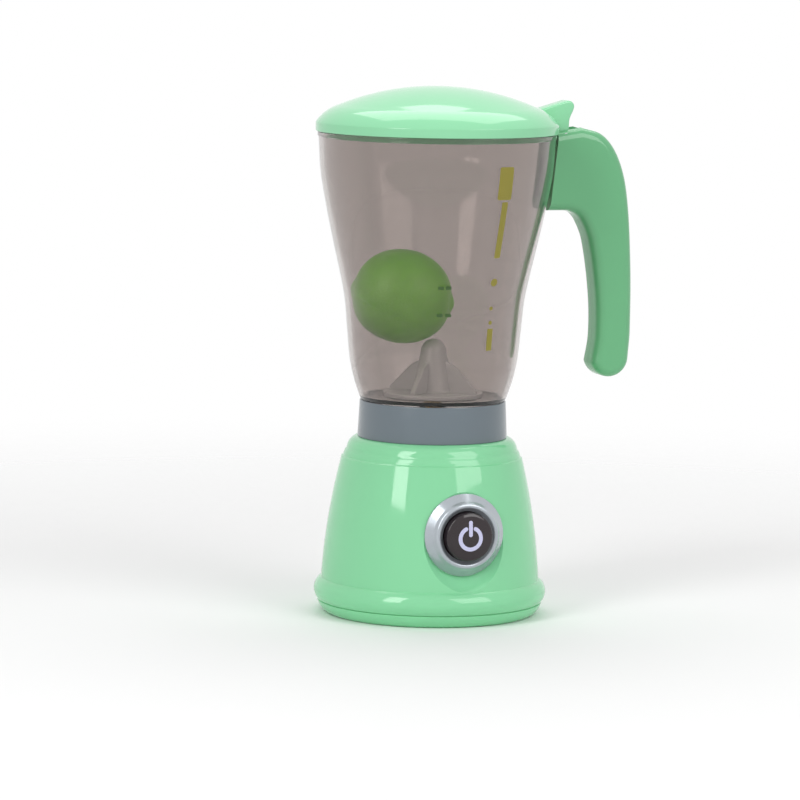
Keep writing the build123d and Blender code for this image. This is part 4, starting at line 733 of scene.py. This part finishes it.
# ---- Stirrer ----------------------------------------------------------------------------------
# A disc with a domed hub and four upright fins, moulded in pale grey polystyrene and pressed on
# the steel shaft. It pushes the play fruit round.
disc_r, disc_t, disc_z = 22.4, 1.6, 99.0
hub_foot_r, hub_top_r, hub_top_z = 9.0, 5.8, 118.3
shaft_hole_r, shaft_hole_top_z = 1.52, 114.5
fin_t, fin_count = 2.2, 4
fin_side = ((3.8, 100.4), (21.4, 100.4), (21.4, 101.8), (11.0, 112.0, 2.0), (3.8, 115.5))

disc_top_z = disc_z + disc_t
hub_dome = arc((hub_top_r, hub_top_z),
               (hub_top_r * cos(pi / 4), hub_top_z + hub_top_r * sin(pi / 4)),
               (0, hub_top_z + hub_top_r), 12)
stirrer = made("stirrer_fins", turned([
    (0, shaft_hole_top_z), (shaft_hole_r, shaft_hole_top_z), (shaft_hole_r, disc_z),
    *rounded([(shaft_hole_r, disc_z), (disc_r, disc_z, 0.3), (disc_r, disc_top_z, 0.6),
              (hub_foot_r, disc_top_z, 1.2), (hub_top_r, hub_top_z)])[1:],
    *hub_dome[1:-1], (0, hub_top_z + hub_top_r)], steps=128))
for fin in range(fin_count):
    blade = plate(rounded(fin_side), -fin_t / 2, fin_t / 2)
    rims = [e for e in blade.edges
            if e.calc_face_angle(0) > 1.2 and abs(e.verts[0].co.y - e.verts[1].co.y) < 1e-6]
    bmesh.ops.bevel(blade, geom=rims, offset=0.35 * mm, affect="EDGES", segments=3, profile=0.5,
                    material=-1)
    carved(stirrer, spun(blade, 45 + 360 / fin_count * fin), "UNION")
pale_grey = plastic("pale_grey", (0.56, 0.57, 0.58, 1), 0.18, cloud=0.03)
dressed(stirrer, pale_grey, "stirrer", "smoke_stirrer", "stirrer")

# ---- Lid --------------------------------------------------------------------------------------
# A shallow dome in gloss mint ABS with a plug ring under it. The thumb tab and the ear of the
# hinge are one lever, moulded on at the handle's side.
lid_r, band_low_z, band_top_z, lid_top_z = 54.49, 216.9, 221.1, 237.5
edge_mid_r, edge_mid_z, edge_in_r, edge_in_z = 49.6, 225.9, 44.2, 228.6
lid_wall = 2.0
plug_r, plug_t, plug_low_z = 50.4, 1.8, 214.3
hinge_x, hinge_z, hinge_ear_r, hinge_hole_r = 59.3, 215.6, 2.6, 1.16
tab_w, lever_round = 8.6, 0.8
tab_root_x, tab_root_z, tab_tip_x, tab_tip_z = 45.0, 226.4, 60.6, 231.0
tab_bow, tab_end, tab_under = (63.5, 230.2), (64.2, 228.2), (63.85, 227.0)
tab_neck_x, tab_neck_z = 62.0, 222.4
# The lid is the same mint ABS as the base; this lighter copy of that mint is painted light, for
# the light that falls on the top of the blender
lid_mint_painted_light = (0.300, 0.755, 0.430, 1)

dome_height = lid_top_z - edge_in_z
dome_r = (edge_in_r ** 2 + dome_height ** 2) / (2 * dome_height)


def dome_z(radius, sink=0.0):
    """Height of the dome at a radius, or of its inside, which lies sink lower."""
    return lid_top_z - dome_r + sqrt((dome_r - sink) ** 2 - radius ** 2)


dome = [(radius, dome_z(radius)) for radius in evenly(0, edge_in_r, 20)]
under_dome = [(radius, dome_z(radius, lid_wall)) for radius in evenly(0, edge_in_r, 12)[:-1]]
band_edge = (lid_r - 0.45, band_top_z + 0.5)
lid = made("lid_dome", turned([
    *dome, *arc((edge_in_r, edge_in_z), (edge_mid_r, edge_mid_z), band_edge, 14)[1:],
    *rounded([band_edge, (lid_r, band_top_z - 0.2, 0.5),
              (lid_r, band_low_z + 0.05, 0.35), (plug_r, band_low_z + 0.05, 0.2),
              (plug_r, plug_low_z, 0.3), (plug_r - plug_t, plug_low_z, 0.3),
              (plug_r - plug_t, edge_mid_z - 3.4, 1.0),
              (edge_in_r - 0.6, edge_in_z - lid_wall)])[1:],
    *reversed(under_dome)]))
lever = plate([
    (tab_root_x, tab_root_z),
    *arc((tab_tip_x, tab_tip_z), tab_bow, tab_end, 8),
    *flowing([tab_under, (tab_neck_x, tab_neck_z), (hinge_x + hinge_ear_r, hinge_z)], 8),
    *arc((hinge_x + hinge_ear_r, hinge_z), (hinge_x, hinge_z - hinge_ear_r),
         (hinge_x - hinge_ear_r, hinge_z), 14)[1:],
    (hinge_x - hinge_ear_r, band_low_z + 0.4), (lid_r - 3.0, band_low_z + 0.4)],
    -tab_w / 2, tab_w / 2)
rims = [e for e in lever.edges if abs(e.verts[0].co.y - e.verts[1].co.y) < 1e-6]
bmesh.ops.bevel(lever, geom=rims, offset=lever_round * mm, affect="EDGES", segments=4, profile=0.5,
                material=-1)
carved(lid, lever, "UNION")
carved(lid, spun(rod(hinge_x, -hinge_z, -tab_w, tab_w, hinge_hole_r, 24), -90, "X"))
lid_abs_painted_light = plastic("lid_abs_painted_light", lid_mint_painted_light, 0.07, peel=0.02)
dressed(lid, lid_abs_painted_light, "lid", "mint_shell", "lid")

# ---- Handle -----------------------------------------------------------------------------------
# Two moulded mint halves, screwed together from behind along the line y = 0. The block at the
# top is hooked over the jug's rail, carries the hinge pin and has a slot that the thumb tab
# swings into.
handle_w, handle_round = 16.5, 4.6
parting_gap = 0.05
handle_top = (67.0, 219.2)
grip_outside = ((78.0, 215.6), (85.5, 206.0), (90.2, 190.0), (92.9, 158.5), (93.4, 126.4))
grip_heel, grip_toe, grip_tip = (92.6, 114.6), (84.2, 105.5), (74.6, 112.4)
grip_inside = ((76.4, 124.0), (75.9, 143.0), (72.1, 167.5), (68.3, 176.6), (65.4, 179.9))
crook = (61.5, 181.6)
block_spare, slot_reach = 8.0, 20.0
slot_start_x, slot_end_x, slot_floor_z, slot_w = 57.0, 74.9, 209.4, 9.4
notch_end_x, notch_floor_z = 62.4, 212.6
rail_slot_w = 3.5
screw_places = ((66.0, 198.5), (84.4, 160.0), (84.6, 120.0))
counterbore_y = 5.65
# The handle is the same mint ABS as the base; this darker copy of that mint is painted shade, for
# the shade the handle stands in
handle_mint_painted_shade = (0.150, 0.490, 0.230, 1)


def handle_half(name, out):
    """One half from the parting line outwards, along -Y for out = -1 and +Y for out = 1."""
    top_slope = (handle_top[1] - block_top_z) / (handle_top[0] - block_top_x)
    side = [(block_foot_x - block_spare, block_foot_z),
            (block_top_x - block_spare, block_top_z - block_spare * top_slope),
            *flowing([handle_top, *grip_outside, grip_heel], 8),
            *arc(grip_heel, grip_toe, grip_tip, 18)[1:],
            *flowing([grip_tip, *grip_inside, crook], 8)[1:]]
    bm = plate(side, out * parting_gap, out * handle_w / 2)
    rim = [e for e in bm.edges if all(abs(v.co.y) > handle_w / 2 * mm - 1e-6 for v in e.verts)]
    bmesh.ops.bevel(bm, geom=rim, offset=handle_round * mm, affect="EDGES", segments=9,
                    profile=0.5, material=-1, clamp_overlap=False)
    # The side towards the jug is cut off flat, so its edges stay crisp
    bmesh.ops.bisect_plane(bm, geom=bm.verts[:] + bm.edges[:] + bm.faces[:], dist=1e-7,
                           plane_co=(block_foot_x * mm, 0, block_foot_z * mm),
                           plane_no=(block_top_z - block_foot_z, 0, block_foot_x - block_top_x),
                           clear_inner=True)
    bmesh.ops.holes_fill(bm, edges=[edge for edge in bm.edges if edge.is_boundary])
    bmesh.ops.recalc_face_normals(bm, faces=bm.faces)
    half = made(name, bm)
    slot_top_z = slot_floor_z + slot_reach
    carved(half, block(slot_start_x, slot_end_x, -slot_w / 2, slot_w / 2, slot_floor_z,
                       slot_top_z))
    carved(half, block(block_foot_x - 1, notch_end_x, -slot_w / 2, slot_w / 2, notch_floor_z,
                       slot_top_z))
    carved(half, block(block_foot_x - 1, block_foot_x + block_spare, -rail_slot_w / 2,
                       rail_slot_w / 2, rail_z0 - 0.25, rail_z1 + 0.25))
    return half


handle_abs_painted_shade = plastic("handle_abs_painted_shade", handle_mint_painted_shade, 0.08, peel=0.02)
handle_front = handle_half("handle_front_shell", -1)
dressed(handle_front, handle_abs_painted_shade, "jug", "mint_handle", "handle_front_half")
handle_rear = handle_half("handle_rear_shell", 1)
for x, z in screw_places:
    carved(handle_rear, spun(rod(x, -z, counterbore_y, handle_w, counterbore_r, 32), -90, "X"))
dressed(handle_rear, handle_abs_painted_shade, "jug", "mint_handle", "handle_rear_half")

# ---- Play lime --------------------------------------------------------------------------------
# A blow-moulded lime in soft green PVC, with pored skin and a blunt nib at each end. It lies
# loose in the jug, on the stirrer's hub and against the wall.
lime_r, lime_half_l, lime_blunt = 21.2, 23.9, 0.86
nib_r, nib_h, nib_blunt = 5.0, 1.6, 0.7
dent_depth, dents_per_metre = 0.25, 70
lime_azimuth, lime_tilt, lime_offset, lime_z = 160.0, -8.0, 14.6, 143.0
lime_green = (0.215, 0.62, 0.03, 1)

lime_side = []
for turn in evenly(0, pi, 48):
    radius = lime_r * sin(turn) ** lime_blunt
    height = -(lime_half_l - nib_h) * cos(turn)
    nib = nib_h * max(0.0, 1 - radius / nib_r) ** nib_blunt
    lime_side.append((radius, height + nib * (1 if height > 0 else -1)))
lime_side[0], lime_side[-1] = (0, -lime_half_l), (0, lime_half_l)
lime_bm = turned(lime_side, steps=96)
for vert in lime_bm.verts:
    vert.co += vert.normal * dent_depth * mm * (noise.noise(vert.co * dents_per_metre) - 0.3)
azimuth, tilt = radians(lime_azimuth), radians(lime_tilt)
lime_axis = Vector((cos(azimuth) * cos(tilt), sin(azimuth) * cos(tilt), -sin(tilt)))
lime_middle = Vector((lime_offset * cos(azimuth), lime_offset * sin(azimuth), lime_z)) * mm
lime_turn = lime_axis.to_track_quat("Z", "Y").to_matrix().to_4x4()
lime_place = Matrix.Translation(lime_middle) @ lime_turn
bmesh.ops.transform(lime_bm, matrix=lime_place, verts=lime_bm.verts)
play_lime = made("play_lime_skin", lime_bm)
lime_skin, tree, peel = blank_finish("lime_skin")
peel.inputs["Subsurface Weight"].default_value = 0.15
peel.inputs["Subsurface Radius"].default_value = (0.004, 0.006, 0.002)
peel.inputs["Subsurface Scale"].default_value = 0.5
mottle = noise_of(tree, 60, 4.0)
tree.links.new(toned(tree, mottle, lime_green, 0.78, 1.18), peel.inputs["Base Color"])
tree.links.new(ranged(tree, mottle, 0.28, 0.42), peel.inputs["Roughness"])
pores = tree.nodes.new("ShaderNodeTexVoronoi")
pores.inputs["Scale"].default_value = 650
pore_place = tree.nodes.new("ShaderNodeTexCoord")
tree.links.new(pore_place.outputs["Object"], pores.inputs["Vector"])
pore_depth = ranged(tree, pores.outputs["Distance"], 0.0, 1.0, 0.0, 0.45)
tree.links.new(raised(tree, pore_depth, 0.35, 0.15), peel.inputs["Normal"])
dressed(play_lime, lime_skin, "lime", "lime_skin", "play_lime")

# ---- Studio -----------------------------------------------------------------------------------
# A pale table top that fades into a white room, lit by two tall soft boxes and one behind. The
# camera stands two metres off, a little above the lid, and looks slightly down.
floor_r, fade_start_r, fade_end_r = 1.8, 0.1125, 0.75
room_light, lamp_aim = 0.34, (0, 0, 0.12)
camera_place = (-0.658, -1.809, 0.320)
camera_turn, camera_yaw, camera_pitch, camera_roll = 20.0, -0.45, 6.64, 0.943
camera_focal, frame_pixels, sensor = 4300, 800, 36

floor_bm = bmesh.new()
bmesh.ops.create_circle(floor_bm, cap_ends=True, segments=96, radius=floor_r)
table_top = made("table_top", floor_bm)
table_paint, tree, paint = blank_finish("table_paint")
paint.inputs["Base Color"].default_value = (0.93, 0.93, 0.93, 1)
paint.inputs["Roughness"].default_value = 0.7
where = tree.nodes.new("ShaderNodeTexCoord")
distance = tree.nodes.new("ShaderNodeVectorMath")
distance.operation = "LENGTH"
tree.links.new(where.outputs["Object"], distance.inputs[0])
fade = ranged(tree, distance.outputs["Value"], 1.0, 0.0, fade_start_r, fade_end_r)
fade.node.interpolation_type = "SMOOTHSTEP"
tree.links.new(fade, paint.inputs["Alpha"])
table_top.data.materials.append(table_paint)

room = bpy.data.worlds.new("room")
bpy.context.scene.world = room
room.use_nodes = True
tree = room.node_tree
light_in_room = tree.nodes["Background"]
light_in_room.inputs["Color"].default_value = (1, 1, 1, 1)
light_in_room.inputs["Strength"].default_value = room_light
white = tree.nodes.new("ShaderNodeBackground")
white.inputs["Color"].default_value = (1, 1, 1, 1)
ray = tree.nodes.new("ShaderNodeLightPath")
mirrored = tree.nodes.new("ShaderNodeMath")
mirrored.operation = "MAXIMUM"
tree.links.new(ray.outputs["Is Glossy Ray"], mirrored.inputs[0])
tree.links.new(ray.outputs["Is Transmission Ray"], mirrored.inputs[1])
seen = tree.nodes.new("ShaderNodeMath")
seen.operation = "MAXIMUM"
tree.links.new(ray.outputs["Is Camera Ray"], seen.inputs[0])
tree.links.new(mirrored.outputs["Value"], seen.inputs[1])
either = tree.nodes.new("ShaderNodeMixShader")
tree.links.new(seen.outputs["Value"], either.inputs["Fac"])
tree.links.new(light_in_room.outputs["Background"], either.inputs[1])
tree.links.new(white.outputs["Background"], either.inputs[2])
tree.links.new(either.outputs["Shader"], tree.nodes["World Output"].inputs["Surface"])


def soft_box(name, azimuth, elevation, away, width, tall, power):
    """A lamp that looks at the middle of the object, azimuth from the camera's side in degrees."""
    lamp = bpy.data.lights.new(name, "AREA")
    lamp.shape = "RECTANGLE"
    lamp.size, lamp.size_y = width, tall
    lamp.energy = power
    holder = bpy.data.objects.new(name, lamp)
    bpy.context.scene.collection.objects.link(holder)
    turn, rise = radians(azimuth - camera_turn), radians(elevation)
    way = Vector((sin(turn) * cos(rise), -cos(turn) * cos(rise), sin(rise)))
    holder.location = Vector(lamp_aim) + way * away
    holder.rotation_mode = "QUATERNION"
    holder.rotation_quaternion = way.to_track_quat("Z", "Y")


soft_box("left_box", -38, 30, 1.3, 0.40, 1.0, 7.0)
soft_box("right_box", 48, 31, 1.3, 0.80, 0.9, 6.5)
soft_box("back_box", 175, 66, 1.3, 1.3, 0.9, 7.5)

camera = bpy.data.objects.new("camera", bpy.data.cameras.new("camera"))
bpy.context.scene.collection.objects.link(camera)
camera.data.sensor_width = sensor
camera.data.lens = camera_focal / frame_pixels * sensor
camera.data.clip_start, camera.data.clip_end = 0.05, 50
yaw, pitch, roll = radians(camera_yaw), radians(camera_pitch), radians(camera_roll)
forward = Vector((sin(yaw) * cos(pitch), cos(yaw) * cos(pitch), -sin(pitch)))
forward.rotate(Matrix.Rotation(-radians(camera_turn), 3, "Z"))
level = forward.cross(Vector((0, 0, 1))).normalized()
upright = level.cross(forward)
right = cos(roll) * level + sin(roll) * upright
up = -sin(roll) * level + cos(roll) * upright
camera_axes = Matrix((right, up, -forward)).transposed().to_4x4()
camera.matrix_world = Matrix.Translation(camera_place) @ camera_axes
bpy.context.scene.camera = camera
bpy.context.scene.view_settings.view_transform = "Standard"
